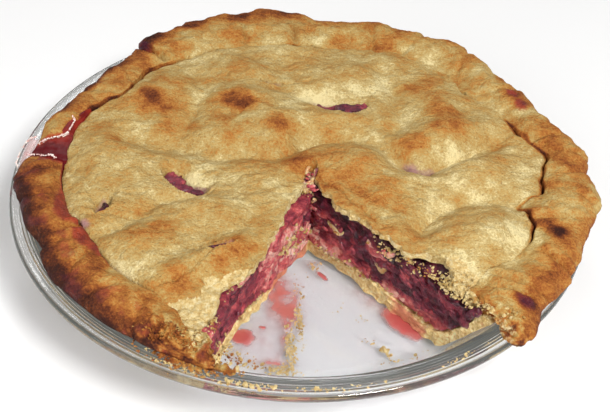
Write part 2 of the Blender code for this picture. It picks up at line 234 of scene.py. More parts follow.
APEX = Vector((5, -10))            # where the two cuts meet
CUT_ANGLES = (-46.5, 248.0)        # the right and the left cut
FLANGE_CLEAR = 37.75               # the crust rests just over the glass
RIM_MIDDLE = 106                   # a radius inside the rim, where its bearing is taken
CURL_UP, CURL_OUT = 0.24, 0.93     # shares of its height and width where it curls under
SEAM_DIP = 0.3                     # the rim starts this far under the lid's edge
CUT_REACH = 16                     # a torn cut is felt this far into the pie
SEAM_MEAN = 96                     # the seam's usual distance from the dish's centre
LID_CENTRE, LID_FALL = 46.8, 3.0   # the lid's height at its centre, and its fall to the seam
LID_THICKNESS = 4.6                # away from its torn edges, where it is thinner
BREAK = (172.8, 183.2)             # between these angles the rim burst open

# angle, seam radius, outer radius and top height of the rim
RIM = (
    (-46, 95, 124.2, 45.5), (-38, 94, 119, 45.5), (-30, 99, 120.8, 46), (-25, 100.7, 120.2, 46.5),
    (-19, 100, 119.9, 47), (-14, 96.8, 121.4, 47.3), (-10.4, 91.5, 122.7, 47.5),
    (-8, 94.5, 123.8, 47.8), (-6.2, 100, 124.5, 48), (-2, 100.8, 123, 47.7), (3, 103, 121.7, 47.5),
    (8, 105.6, 123.4, 47.9), (14.5, 101.5, 119.6, 47.5), (18, 98.6, 117.5, 47.5),
    (24, 98, 115.5, 47.5), (32, 96, 116.2, 47.5), (40, 94, 117, 48), (46, 97, 119.3, 48),
    (53, 98, 122.2, 48.2), (62, 98, 119, 48.2), (70, 95, 120, 48), (78, 92, 115.5, 48),
    (87, 89, 112, 48), (93, 89, 119, 50), (100, 90, 122, 50.5), (108, 93, 118.8, 50),
    (120, 94, 119, 49.5), (131, 94, 119, 49), (135.5, 96, 112.5, 47.3), (138, 96.3, 111.6, 47),
    (144.4, 92.6, 111, 46.5), (150.2, 89.8, 110.6, 46), (153, 91, 110.6, 46),
    (156.2, 95.8, 110.8, 46.1), (162, 98, 111.2, 46.3), (172, 99, 113, 46.3),
    (176.5, 98.6, 112.5, 45.5), (180, 98.2, 113.5, 45.5), (183.5, 98, 116.3, 46.2),
    (187, 98, 117, 46.7), (200, 97, 114.5, 47), (208, 95, 112, 46.3), (214, 94, 114.8, 46.7),
    (225, 96, 114, 46.8), (236, 94.5, 113.5, 46.5), (243, 97, 113.2, 45.8),
    (248, 102.5, 113, 45.5), (270, 104, 113, 45.5), (314, 95, 124, 45.5),
)
# angle, where the rim is highest across its width, and how far the seam has opened
RIM_FORM = (
    (-46, 0.5, 0.3), (-34, 0.48, 0.1), (-26, 0.46, 0.3), (-22, 0.45, 0.75), (-13, 0.45, 0.8),
    (-10, 0.48, 0.3), (-8, 0.48, 0.3), (-5, 0.48, 0.8), (7, 0.5, 0.8), (11, 0.5, 0.3),
    (16, 0.52, 0.2), (18, 0.53, 0.7), (21, 0.55, 0.5), (25, 0.55, 0.05), (38, 0.6, 0.1),
    (39.5, 0.6, 0.6), (42, 0.6, 0), (80, 0.62, 0.1), (88, 0.6, 0.55), (98, 0.58, 0.5),
    (106, 0.55, 0.3), (118, 0.52, 0.5), (134, 0.5, 0.6), (144, 0.46, 0.75), (151, 0.42, 0.7),
    (158, 0.42, 0.75), (170, 0.4, 0.8), (183, 0.34, 0.6), (200, 0.34, 0.4), (206, 0.34, 0.6),
    (210, 0.34, 0.4), (225, 0.34, 0.6), (234, 0.36, 0.7), (239, 0.36, 0.3), (255, 0.4, 0.1),
    (314, 0.5, 0.3),
)
# how far each cut edge stands into the gap, against the distance from the apex
CUT_EDGES = {
    "crust": {
        "left": ((0, -1), (20, -4), (60, -5), (80, -4), (96, 3), (106, 8), (122, 9), (150, 9)),
        "right": ((0, -1), (20, -3), (80, -3), (96, -3), (110, 0), (150, 0)),
    },
    "filling": {
        "left": ((0, 1), (12, 1), (24, -1), (60, -4), (78, -4), (88, -1), (96, 0), (150, 0)),
        "right": ((0, 1), (12, 0.5), (24, -1), (60, -2.5), (78, -2), (94, -0.5), (150, -0.5)),
    },
    "lid": {
        "left": ((0, -1), (20, -1), (40, 1.3), (53, 2), (62, 1), (71, -5), (84, -1.5),
                 (92, -3), (150, 0)),
        "right": ((0, 0), (12, 2.5), (21, 4), (38, 1.7), (56, 0.8), (62, -4), (67, -8),
                  (73, -6), (80, -1), (90, -0.5), (100, -3), (150, -3)),
    },
}


def within(value):
    """A value held between 0 and 1."""
    return min(1.0, max(0.0, value))


def ease(share):
    """From 0 to 1 with a soft start and end."""
    share = within(share)
    return share * share * (3 - 2 * share)


def between(value, low, rise, high, fall):
    """1 between two values: it rises over a length after the first and falls before the last."""
    return ease((value - low) / rise) * ease((high - value) / fall)


def read_along(rows, at):
    """Values of a table whose first column rises, blended softly between its rows."""
    if at <= rows[0][0]:
        return rows[0][1:]
    for low, high in zip(rows, rows[1:]):
        if at <= high[0]:
            share = ease((at - low[0]) / (high[0] - low[0]))
            return tuple(a + (b - a) * share for a, b in zip(low[1:], high[1:]))
    return rows[-1][1:]


def lumps(x, y, z, size, seed=0.0):
    """Smooth bumps of this size, between about -1 and 1."""
    return noise.noise(Vector((x / size + seed, y / size - seed, z / size + 0.37)))


def crumbly(x, y, z, size, seed=0.0):
    """Broken, crumbly relief whose biggest lumps have this size."""
    where = Vector((x / size + seed, y / size, z / size - seed))
    return noise.fractal(where, 0.8, 2.1, 4)


def bearing(x, y):
    """Degrees about the dish's centre, from -46 to 314."""
    return (math.degrees(math.atan2(y, x)) + 46) % 360 - 46


def on_circle(degrees, radius):
    """The point at this bearing and distance from the dish's centre."""
    a = math.radians(degrees)
    return radius * math.cos(a), radius * math.sin(a)


def rim_at(degrees):
    """Seam radius, outer radius and top height of the rim."""
    seam, outer, top = read_along(RIM, degrees)
    ripple = lumps(*on_circle(degrees, 1), 1.7, 0.142)
    wander = lumps(*on_circle(degrees, 1), 4.7, 0.05)
    return seam + 0.8 * ripple + 0.7 * wander, outer + 0.9 * ripple, top + 0.8 * ripple


def across_rim(degrees, radius):
    """Share of the rim's width at a radius: 0 at the seam, 1 at the outer edge."""
    seam, outer, top = rim_at(degrees)
    return (radius - seam) / (outer - seam)


def heading(around):
    """Direction from the apex at a share of the way round the pie, from cut to cut."""
    return Vector(on_circle(CUT_ANGLES[0] + (CUT_ANGLES[1] - CUT_ANGLES[0]) * around, 1))


def run_to(direction, radius):
    """Distance from the apex to a circle about the dish's centre."""
    along = APEX.dot(direction)
    return math.sqrt(along * along - APEX.length_squared + radius * radius) - along


def block(around, along, through):
    """A block cut into strips in three directions, its corners at 0 and 1."""
    bm = bmesh.new()
    bmesh.ops.create_cube(bm, size=1)
    bmesh.ops.translate(bm, vec=(0.5, 0.5, 0.5), verts=bm.verts[:])
    for axis, strips in enumerate((around, along, through)):
        edges = [e for e in bm.edges
                 if abs(e.verts[0].co[axis] - e.verts[1].co[axis]) > 0.9]
        bmesh.ops.subdivide_edges(bm, edges=edges, cuts=strips - 1, use_grid_fill=True)
    return bm


def close_up(bm):
    """Merges what has come together and turns every face outwards."""
    bmesh.ops.remove_doubles(bm, verts=bm.verts[:], dist=0.005)
    bmesh.ops.dissolve_degenerate(bm, dist=0.003, edges=bm.edges[:])
    bmesh.ops.recalc_face_normals(bm, faces=bm.faces[:])
    bm.normal_update()


# each cut's direction from the apex, and the direction from it into the pie
CUTS = {}
for side, angle, sense in zip(("right", "left"), CUT_ANGLES, (1, -1)):
    along = Vector(on_circle(angle, 1))
    CUTS[side] = along, Vector((-along.y, along.x)) * sense


def from_cut(x, y):
    """Nearest cut side, distance along it, distance from it, and direction into the pie."""
    here = Vector((x, y)) - APEX
    found = []
    for side, (along, into_pie) in CUTS.items():
        ahead = here.dot(along)
        found.append((abs(here.dot(into_pie)) if ahead > 0 else here.length, ahead, side,
                      into_pie))
    away, ahead, side, into_pie = min(found, key=lambda row: row[0])
    return side, max(0.0, ahead), away, into_pie


def settle_cut(x, y, z, layer, rough, grain):
    """Moves a point near a cut to the torn edge of its layer."""
    side, ahead, away, into_pie = from_cut(x, y)
    if away > CUT_REACH:
        return x, y
    stand = read_along(CUT_EDGES[layer][side], ahead)[0]
    seed = 3.0 if side == "left" else 9.0
    torn = rough * crumbly(ahead, 0, z, grain, seed + len(layer))
    grow = ease(ahead / 9)
    shift = grow * (stand * (1 - ease(away / CUT_REACH)) + torn * (1 - ease(away / 3.5)))
    return x - into_pie.x * shift, y - into_pie.y * shift


class Nearby:
    """Finds the rows of a table that can matter at a point, by cells of the lid."""

    CELL = 8.0

    def __init__(self, rows, circle):
        """circle gives a row's middle and how far it reaches."""
        self.rows = [(circle(row), row) for row in rows]
        self.cells = {}

    def __call__(self, x, y):
        key = (int(x // self.CELL), int(y // self.CELL))
        if key not in self.cells:
            mx, my = (key[0] + 0.5) * self.CELL, (key[1] + 0.5) * self.CELL
            self.cells[key] = [row for (cx, cy, reach), row in self.rows
                               if math.hypot(cx - mx, cy - my) < reach + self.CELL]
        return self.cells[key]


def line(*path):
    """A line drawn through points, with the middle and reach of the circle round it."""
    cx = sum(x for x, y in path) / len(path)
    cy = sum(y for x, y in path) / len(path)
    return cx, cy, max(math.hypot(x - cx, y - cy) for x, y in path), path


# centre x and y, length, width, turn and rise of each swell
SWELLS = (
    (-67, 44, 20, 13, 35, 3.2), (-28, 43, 17, 10, 0, 3.2), (-11, 27, 14, 11, 0, 2.6),
    (-34, 20, 13, 10, 0, 1.8), (-80, 0, 22, 15, 90, 2.6), (-60, -54, 24, 16, -30, 3),
    (-34, -62, 28, 6.5, 38, 3.4), (-33, -36, 16, 11, 20, 1.6), (22, 66, 20, 12, 0, 2.4),
    (-28, 68, 18, 8, -40, 2.6), (60, 46, 18, 10, 85, 3.2), (66, 26, 26, 9, 24, 3.6),
    (74, 0, 17, 11, 12, 2.8), (22, 0, 15, 11, 0, 3), (74, -39, 18, 15, 30, 4.4),
    (36, -16, 16, 5, 38, 1.2), (-48, -14, 10, 5, -30, -1.5), (-40, -31, 12, 5, 15, 1.4),
    (14, 31, 16, 4, 0, 1.6), (-8, 84, 20, 7, 0, 1.4), (-88, -30, 12, 10, 0, 1),
    (38, 84, 14, 9, -20, 1.4), (4, 56, 12, 8, 0, 1.2), (-78, 62, 16, 6, 50, 0.9),
    (2, -2, 9, 7, 0, 1.4),
)
# width and depth of each valley, and the line it follows
VALLEYS = (
    (6, 3.2, line((-74, 12), (-50, 8), (-36, 3), (-23, 5.5), (-11, 5), (-5, 10), (1, 17))),
    (5, 2.6, line((1, 16.5), (11, 18), (22, 18.5), (32, 15), (38, 10))),
    (5, 3.4, line((42, 4), (54, 1), (66, 9), (80, 21), (88, 28))),
    (5, 2.8, line((50, -36), (57, -25), (66, -18), (78, -15.5), (90, -16.5))),
    (4, 2.0, line((-92, -54), (-70, -47), (-56, -28), (-40, -24))),
    (4, 1.6, line((34, 70), (40, 56), (44, 34), (40, 26))),
    (4, 1.5, line((-50, 60), (-44, 48), (-48, 30), (-52, 18))),
    (4, 1.4, line((-12, 52), (4, 46), (14, 46))),
)
# width and depth of each sharp crease or crack, and the line it follows
CREASES = (
    (0.8, 1.5, line((-5, 10), (1, 16.5), (11, 18), (17, 18.2))),
    (1.3, 0.8, line((-36, 3), (-24, 5), (-11, 5), (-4, 10))),
    (0.8, 2.0, line((42.5, 5), (46.8, -0.4), (54.5, 2.5), (65.4, 10.7), (72, 16))),
    (0.7, 1.4, line((72, 16), (77, 20.5), (82, 26))),
    (0.6, 1.8, line((-51, -77), (-44, -74), (-38.6, -69.8), (-35.3, -65.4), (-30, -57.5))),
    (0.6, 1.0, line((-85, -38), (-78, -38), (-68, -39), (-56, -38))),
    (0.4, 0.7, line((-76, -32), (-74, -25), (-64, -26))),
    (0.5, 0.8, line((-12, 56), (-6, 56), (2, 58))),
    (0.7, 0.8, line((50, -34), (57, -25), (66, -18))),
    (0.6, 1.2, line((-21, 40), (-24.5, 35.5), (-28, 30))),
    (0.6, 1.3, line((70, 64), (72, 60), (78, 58))),
    (0.5, 0.9, line((-73.7, -23.9), (-69.6, -24.7), (-62, -24))),
    (0.4, 0.8, line((-75.4, -21), (-74, -24), (-76, -28))),
    (0.9, 0.9, line((-90, -8), (-86, -18), (-82, -30))),
    (0.7, 0.8, line((-84, -37), (-76, -41), (-69, -45), (-62, -53))),
    (0.5, 1.2, line((5, -1), (3, -5), (4, -9))),
    (0.5, 0.8, line((-3, -20), (-9, -22), (-14, -19))),
    (0.45, 1.2, line((6, -5), (9, -12), (14.6, -16.6), (17.4, -18.3))),
    (0.45, 1.0, line((17.4, -18.3), (21.5, -24.5), (25.5, -27.7), (31, -35))),
    (0.5, 1.2, line((55, -52), (60, -57), (66, -62), (68, -67))),
    (0.4, 0.8, line((52, -57), (57, -61), (60, -68))),
)


def to_path(x, y, drawn, beyond):
    """Distance to a drawn line, where it is nearer than beyond."""
    cx, cy, reach, path = drawn
    nearest = beyond
    if (x - cx) ** 2 + (y - cy) ** 2 > (reach + beyond) ** 2:
        return nearest
    for (ax, ay), (bx, by) in zip(path, path[1:]):
        dx, dy = bx - ax, by - ay
        share = within(((x - ax) * dx + (y - ay) * dy) / (dx * dx + dy * dy))
        nearest = min(nearest, math.hypot(x - ax - dx * share, y - ay - dy * share))
    return nearest


def patch(x, y, cx, cy, length, width, turn):
    """1 in the middle of an oval, fading to 0 outside it."""
    cosine, sine = math.cos(math.radians(turn)), math.sin(math.radians(turn))
    along = ((x - cx) * cosine + (y - cy) * sine) / length
    across = ((y - cy) * cosine - (x - cx) * sine) / width
    return math.exp(-1.2 * (along * along + across * across))


def patches(x, y, rows):
    """The sum of ovals, each with its strength last in its row."""
    return sum(strength * patch(x, y, *oval) for *oval, strength in rows)


def reach_of(row):
    """Middle and reach of an oval."""
    return row[0], row[1], 2.2 * max(row[2], row[3])


swells_near = Nearby(SWELLS, reach_of)
valleys_near = Nearby(VALLEYS, lambda row: (row[2][0], row[2][1], row[2][2] + 3 * row[0]))


def swelling(x, y):
    return patches(x, y, swells_near(x, y))


def sinking(x, y):
    return sum(depth * math.exp(-(to_path(x, y, path, 3 * width) / width) ** 2)
               for width, depth, path in valleys_near(x, y))


def lid_height(x, y):
    """Height of the lid's upper face."""
    radius = math.hypot(x, y)
    height = LID_CENTRE - LID_FALL * min(1.0, radius / SEAM_MEAN) ** 2
    held = ease((SEAM_MEAN + 4 - radius) / 12)
    if held == 0:
        return height
    return height + held * (1.1 * lumps(x, y, 0, 13.3) + 1.3 * swelling(x, y)
                            - 1.35 * sinking(x, y))


lid_edges = {}


def lid_edge(degrees):
    """Height of the lid where it meets the rim."""
    key = round(degrees, 2)
    if key not in lid_edges:
        lid_edges[key] = lid_height(*on_circle(key, rim_at(key)[0]))
    return lid_edges[key]


def curl_height(top):
    """Height at which a rim this high curls under."""
    return FLANGE_CLEAR + CURL_UP * (top - FLANGE_CLEAR)


def rim_height(degrees, radius):
    """Height of the rim's upper face."""
    seam, outer, top = rim_at(degrees)
    crest, opened = read_along(RIM_FORM, degrees)
    edge = lid_edge(degrees)
    share = (radius - seam) / (outer - seam)
    if share <= crest:
        near = max(0.0, share / crest)
        steep, gentle = math.sqrt(1 - (1 - near) ** 2), ease(near)
        start = edge - SEAM_DIP
        return start + (top - start) * (opened * steep + (1 - opened) * gentle)
    low = curl_height(top)
    far = min(1.0, (share - crest) / (1 - crest))
    return low + (top - low) * math.sqrt(1 - far ** 2.3)


# angle, slant, depth, width and reach across the rim of each crack and finger fold
RIM_CRACKS = (
    (107, -3, 1.8, 0.6, 0, 0.6), (94, 1, 2, 0.8, 0, 0.7), (73, 3, 1.6, 0.9, 0, 0.8),
    (62, -3, 1.2, 1, 0.1, 1), (48, 4, 1, 1, 0.2, 1), (34, -4, 1, 0.8, 0, 1),
    (133.4, 3, 3.2, 1.3, 0.1, 1.1), (144, -4, 0.8, 0.8, 0.1, 0.8), (120, 4, 0.9, 0.9, 0.2, 1),
    (14, -1, 2.8, 0.6, 0, 0.7), (8, -3, 1.4, 0.7, 0.2, 1.1), (1, 4, 1.3, 0.8, 0.4, 1.1),
    (-6, -4, 1.2, 0.8, 0.2, 1), (-14, 3, 1.6, 0.9, 0, 0.8), (-26.6, -1, 2.2, 0.7, 0.3, 1.1),
    (-40, 6, 2.2, 0.6, 0.3, 0.8), (-37, 3, 1.2, 0.8, 0, 1.1), (187, 3, 1, 0.8, 0.2, 1.1),
    (196, -4, 1.1, 0.9, 0.3, 1.1), (207.8, 0, 2.6, 1, -0.1, 0.35), (211, -3, 1.2, 0.9, 0.3, 1.1),
    (219, 4, 0.9, 0.8, 0.2, 1.1), (229, -4, 1, 0.9, 0.3, 1.1), (238, 3, 1.1, 0.8, 0.2, 1.1),
    (154, 3, 1, 0.8, 0.2, 1),
)


def crumbled(x, y):
    """How far the rim has gone to crumbs at a point, near its two cut ends."""
    degrees, radius = bearing(x, y), math.hypot(x, y)
    side, ahead, away, into_pie = from_cut(x, y)
    if side == "right":
        return ease((8 - away) / 4) * ease((radius - 98) / 5)
    return ease((degrees - 237) / 5) * ease((radius - 100) / 4) * ease((24 - away) / 6)


def rim_relief(x, y, z):
    """How far the rolled rim stands out or is creased at a point."""
    degrees, radius = bearing(x, y), math.hypot(x, y)
    share = across_rim(degrees, radius)
    relief = 1.2 * lumps(x, y, z, 12, 2.0) + 0.75 * lumps(x, y, z, 5.5, 5.0)
    relief += 0.3 * crumbly(x, y, z, 2.6, 1.0) + 1.3 * crumbled(x, y) * crumbly(x, y, z, 4.2, 9)
    for angle, slant, depth, width, inner, outside in RIM_CRACKS:
        off = (degrees - angle - slant * (share - 0.5)) * radius * math.pi / 180
        off += 0.8 * lumps(x, y, z, 4, angle)
        if abs(off) < 7:
            held = ease((share - inner + 0.1) / 0.15) * ease((outside + 0.1 - share) / 0.15)
            relief -= held * depth / (1 + (off / width) ** 2)
            relief += held * 0.5 * depth * math.exp(-((abs(off) - 3) / 1.6) ** 2)
    return relief * ease((share + 0.02) / 0.12)


def past_break(degrees, radius):
    """How far along the rim a point is from its burst, less than nothing inside it."""
    share = within(across_rim(degrees, radius))
    return max(BREAK[0] + 3.6 * share - degrees, degrees - BREAK[1] + 2.6 * share) * 1.85


def burst_height(beside):
    """How high the rim stands this far from its burst."""
    return 40.0 + 8.5 * math.sqrt(within(beside / 4))


def worn_height(away):
    """How high the rim stands this far from a cut."""
    return 40.5 + 7 * math.sqrt(min(1.0, away / 9))


# shares of the strip that go up the seam, over the crest and down the outside
RIM_ALONG = (0.08, 0.42, 0.9)


def rim_point(around, along, through):
    """Where a point of the rim's strip lies once it is rolled over."""
    direction = heading(around)
    degrees = bearing(*(APEX + direction * run_to(direction, RIM_MIDDLE)))
    seam, outer, top = rim_at(degrees)
    crest, opened = read_along(RIM_FORM, degrees)
    edge = lid_edge(degrees)
    inner = seam - 1.6 + 2.3 * ease(opened / 0.75)
    foot = edge - LID_THICKNESS - 0.6
    up_to, over, down = RIM_ALONG
    if along <= up_to:
        radius, z = inner, foot + (edge - SEAM_DIP - foot) * along / up_to
    elif along <= over:
        share = ((along - up_to) / (over - up_to)) ** 1.5
        radius = inner + (seam + crest * (outer - seam) - inner) * share
        z = rim_height(degrees, max(seam, radius))
        if radius < seam:
            z = edge - SEAM_DIP - 0.5 * (seam - radius)
    elif along <= down:
        share = math.sin((along - over) / (down - over) * math.pi / 2)
        radius = seam + (crest + (1 - crest) * share) * (outer - seam)
        z = rim_height(degrees, radius)
    else:
        curl = (along - down) / (1 - down) * math.pi / 2
        low = curl_height(top)
        radius = seam + (CURL_OUT + (1 - CURL_OUT) * math.cos(curl)) * (outer - seam)
        z = low - (low - FLANGE_CLEAR) * math.sin(curl)
    under = seam + CURL_OUT * (outer - seam) * along
    under_z = foot + (FLANGE_CLEAR - foot) * ease(along * 3)
    if along == 0:
        under = inner
    radius = under + (radius - under) * through
    z = under_z + (z - under_z) * through
    spot = APEX + direction * run_to(direction, radius)
    return spot.x, spot.y, z


def rolled_rim():
    """A long block bent to the rim's shape, then creased, burst open and worn at its ends."""
    bm = block(520, 56, 9)
    for vert in bm.verts:
        x, y, z = rim_point(*vert.co)
        x, y = settle_cut(x, y, z, "crust", rough=2.6, grain=6)
        vert.co = (x, y, z)
    close_up(bm)
    pushes = [(vert, vert.normal * rim_relief(*vert.co) * ease((vert.co.z - 38.2) / 2.0))
              for vert in bm.verts]
    for vert, push in pushes:
        vert.co += push
    for vert in bm.verts:
        x, y, z = vert.co
        degrees = bearing(x, y)
        side, ahead, away, into_pie = from_cut(x, y)
        beside = past_break(degrees, math.hypot(x, y)) + 0.6 * lumps(x, y, 0, 3, 8)
        ceiling = burst_height(beside)
        if math.hypot(x, y) > 103:
            ceiling = min(ceiling, worn_height(away) + 0.8 * crumbly(x, y, 0, 3, 4))
        if z > ceiling:
            vert.co.z = ceiling + 0.12 * (z - ceiling)
    bm.normal_update()
    return bm


CRUST_LAYERS = ("toast", "stain", "torn")


def baked_crust(name, juice_low, juice_high, pale=1.0):
    """Shortcrust: pale dough that browns to orange and dark brown, stained by the juice."""
    material, place, shader = new_material(name, Specular_IOR_Level=0.18)
    toast, stain, torn = (painted(place, layer) for layer in CRUST_LAYERS)
    clouds = place.mottle(12 * MM, 3, 0.55)
    flakes = place.stretch((1, 1.6, 1)).mottle(3.2 * MM, 4, 0.65)
    fine = place.mottle(0.9 * MM, 3, 0.7)
    dough = (toast + clouds * 0.66 + flakes * 0.45 + fine * 0.66).ramp(
        (0.0, 233, 215, 160), (0.16, 197, 171, 112), (0.32, 187, 149, 84), (0.48, 182, 121, 55),
        (0.64, 152, 86, 37), (0.82, 104, 51, 25), (1.0, 58, 26, 18))
    # pale above 1 lightens the crumb, which is painted light
    crumb = place.speckle(1.6 * MM, 4, 0.75).ramp(
        (0.3, 184 * pale, 142 * pale, 80 * pale), (0.48, 216 * pale, 188 * pale, 126 * pale),
        (0.66, 236 * pale, 220 * pale, 174 * pale))
    juice = (place.speckle(4 * MM, 3, 0.6) * 0.6 + toast * 0.6).ramp((0.5, *juice_low),
                                                                    (0.95, *juice_high))
    wet = (stain + place.mottle(1.5 * MM, 3) * 0.4).between(0.2, 0.8)
    bare = (torn + place.mottle(1.6 * MM, 3, 0.7) * 0.9).between(0.3, 0.7)
    pits = place.speckle(1.2 * MM, 2, 0.5).between(0.6, 0.74) * 0.4
    colour = juice.over(crumb.over(place.plain(128, 76, 36).over(dough, pits), bare), wet)
    grain = place.speckle(0.9 * MM, 3, 0.7) * 0.7 + place.speckle(2.8 * MM, 4, 0.65) * 1.2
    feed(shader, Base_Color=colour, Roughness=0.74 - wet * 0.45,
         Normal=bump(grain, 1.4 * MM, 1.0))
    return material


def paint(piece, painter, names):
    """Stores what painter(x, y, z, normal) gives, in millimetres, as values on the mesh."""
    mesh = piece.data
    stores = [mesh.attributes.new(name, 'FLOAT', 'POINT') for name in names]
    values = [[] for _ in names]
    for vert in mesh.vertices:
        x, y, z = vert.co / MM
        for store, value in zip(values, painter(x, y, z, vert.normal)):
            store.append(within(value))
    for store, row in zip(stores, values):
        store.data.foreach_set("value", row)


# centre x and y, length, width, turn and strength of each browned or paler place
# the broad darker place at -8, 2 is partly browning and partly painted shade of the valleys at the
# lid's centre
# the paler places at 80, -38 and 95, -4 are painted highlight where the swells at the right face
# the key lamp
BROWNED_AND_PAINTED_LIGHT = (
    (-68.5, 39.5, 7, 5, 15, 0.44), (-61, 33.5, 8, 5, -35, 0.26), (-28, 38, 11, 5.5, -8, 0.58),
    (-24, 35, 6, 3, 0, 0.12), (-9.5, 22, 8, 6, 0, 0.27), (-31.5, 16, 4, 7, 20, 0.22),
    (-46, 57, 14, 6, 0, 0.14), (-38, 27, 10, 6, 0, 0.1), (-56, 18, 10, 6, 30, 0.08),
    (-9.6, 67, 14, 5, 0, 0.16), (12, 72, 12, 5, 0, 0.12), (50, 62, 12, 6, 30, 0.2),
    (60, 45, 6, 7, 10, 0.15), (58.5, 38, 8, 5, -60, 0.13), (55, 25, 8, 4, 30, 0.22),
    (48, 14, 9, 4.5, 40, 0.22), (65, 38, 6, 5, 0, 0.14), (44, 48, 8, 8, 0, 0.1),
    (62, 66, 7, 5, 0, 0.12), (86, 23, 5, 3.5, 0, 0.2), (99, 16, 5, 4, 0, 0.2),
    (20, -8, 10, 6, 0, 0.16), (15, -21, 9, 4, -46, 0.2), (28, -33, 10, 3.5, -46, 0.16),
    (34, -13, 9, 4, 20, 0.22), (8, 2, 8, 5, 0, 0.18), (-1, -2, 6, 5, 0, 0.24),
    (24, -19, 12, 4, -45, 0.24), (42, -32, 20, 8, -45, 0.18), (22, -15, 16, 4, -42, 0.08),
    (72, 1, 17, 9, 10, -0.12), (66, -57, 9, 6, -40, -0.14), (75, -30, 14, 5, 20, 0.1),
    (-59, -30, 9, 6, 0, 0.14), (-51, -48, 12, 8, 0, 0.18), (-41, -47, 8, 4, 20, 0.14),
    (-14, -40, 6, 6, 0, 0.22), (-21, -57, 7, 4, 40, 0.22), (-27, -64, 6, 4, 40, 0.2),
    (-40, -78, 9, 4.5, 12, 0.24), (-85, 20, 8, 6, 0, 0.08), (-8, 2, 26, 14, 0, 0.27),
    (-56, 26, 16, 10, 20, 0.1), (-34, 60, 24, 9, 10, 0.1), (22, 20, 18, 10, 0, 0.05),
    (93.5, 55, 6, 4, 0, 0.4), (97, 47.5, 6, 4, 0, 0.4), (-76, 80, 7, 4, 40, 0.25),
    (40, 84, 30, 9, -20, 0.08), (90, 30, 12, 12, 0, 0.1), (-15, 14, 9, 3.5, -10, -0.12),
    (79, -63, 4, 4, 0, 0.14), (105, -7, 4, 5, 0, 0.3), (-50, -92, 9, 6, -28, 0.14),
    (-50, 3, 14, 6, 0, 0.04), (103.6, -35, 5, 5, 0, 0.5), (95, -30, 5, 3.5, 0, 0.3),
    (86.6, -74.6, 5, 4.4, 0, 0.72), (90, -70, 14, 9, -50, 0.18), (99, -58, 12, 8, -60, 0.12),
    (106, -40, 8, 16, 20, 0.22), (111, 12, 7, 14, 0, 0.28), (114, -10, 6, 16, 0, 0.22),
    (106, 26, 8, 6, 0, 0.16), (-112, -29, 5, 7, 5, 0.42), (-106, -6, 7, 8, 0, -0.14),
    (-107, -40, 7, 7, 0, 0.2), (-101, -50, 9, 9, 0, 0.22), (-93, -67, 14, 7, -48, 0.3),
    (-76, -85, 14, 7, -42, 0.12), (-106, -14, 5, 7, 0, 0.16), (-56, -97, 12, 6, -28, 0.08),
    (-99, 48, 6, 10, -10, 0.34), (-92, 64, 8, 10, -30, 0.36), (-104, 32, 5, 7, 0, 0.26),
    (-76, 84, 12, 6, 38, 0.34), (-58, 98, 14, 5, 25, 0.28), (-35, 108, 16, 5, 12, 0.3),
    (-6, 112, 16, 5, 0, 0.22), (28, 108, 16, 6, -10, 0.2), (72, 86, 16, 7, -50, 0.07),
    (-30, 90, 14, 5, 12, 0.08), (80, -38, 15, 9, 30, -0.34), (95, -4, 7, 13, 0, -0.14),
    (8, 48, 9, 4, 0, -0.22), (-42, -13, 7, 4, -25, -0.22), (66, -10, 12, 5, 0, -0.1),
    (60, 12, 6, 4, 0, -0.08), (-66, -70, 12, 6, -30, -0.08), (-84, -20, 12, 12, 0, -0.06),
    (100, 6, 5, 8, 0, -0.1), (-19, 62, 6, 3, 0, -0.16), (62, -24, 10, 5, -30, -0.1),
    (-20, -28, 10, 5, 30, -0.08), (40, 6, 8, 4, 0, -0.14), (-102, -22, 5, 5, 0, -0.2),
    (-34, -64, 8, 3, 40, -0.12),
)


browned_and_painted_light_near = Nearby(BROWNED_AND_PAINTED_LIGHT, reach_of)


def browning_and_painted_light(x, y):
    """How much darker or paler the crust is at a point: baked, with some painted highlight and
    painted shade.
    """
    x, y = x + 2.2 * lumps(x, y, 0, 8, 11), y + 1.6 * lumps(x, y, 0, 7, 15)
    return patches(x, y, browned_and_painted_light_near(x, y))


# centre x and y, length, width, turn and strength of the drops of juice on the rim
RIM_DROPS = ((-76, 80, 7, 2.6, 133, 0.9), (93.3, 55.7, 4.5, 2.6, 120, 1.0),
             (96.5, 47.5, 5, 3.2, 105, 1.0), (86.4, -73.8, 4.6, 3.6, -60, 1.1))
# angle, and how far the juice spread across the rim beside the left seam
RIM_FILM = ((186, -0.2), (190, 0.08), (197, 0.26), (203, 0.46), (206.4, 0.44), (207.8, 0.02),
            (209, 0.42), (214, 0.42), (219, 0.2), (223, -0.2))


def painted_seam_shade(degrees, radius):
    """Painted shade: how much darker the crust is painted along the crack between the lid and the
    rim.
    """
    cracked = max(between(degrees, 128, 6, 168, 4), between(degrees, -26, 4, 26, 4))
    return 0.4 * cracked * ease((1.5 - abs(radius - rim_at(degrees)[0] + 0.3)) / 1.2)


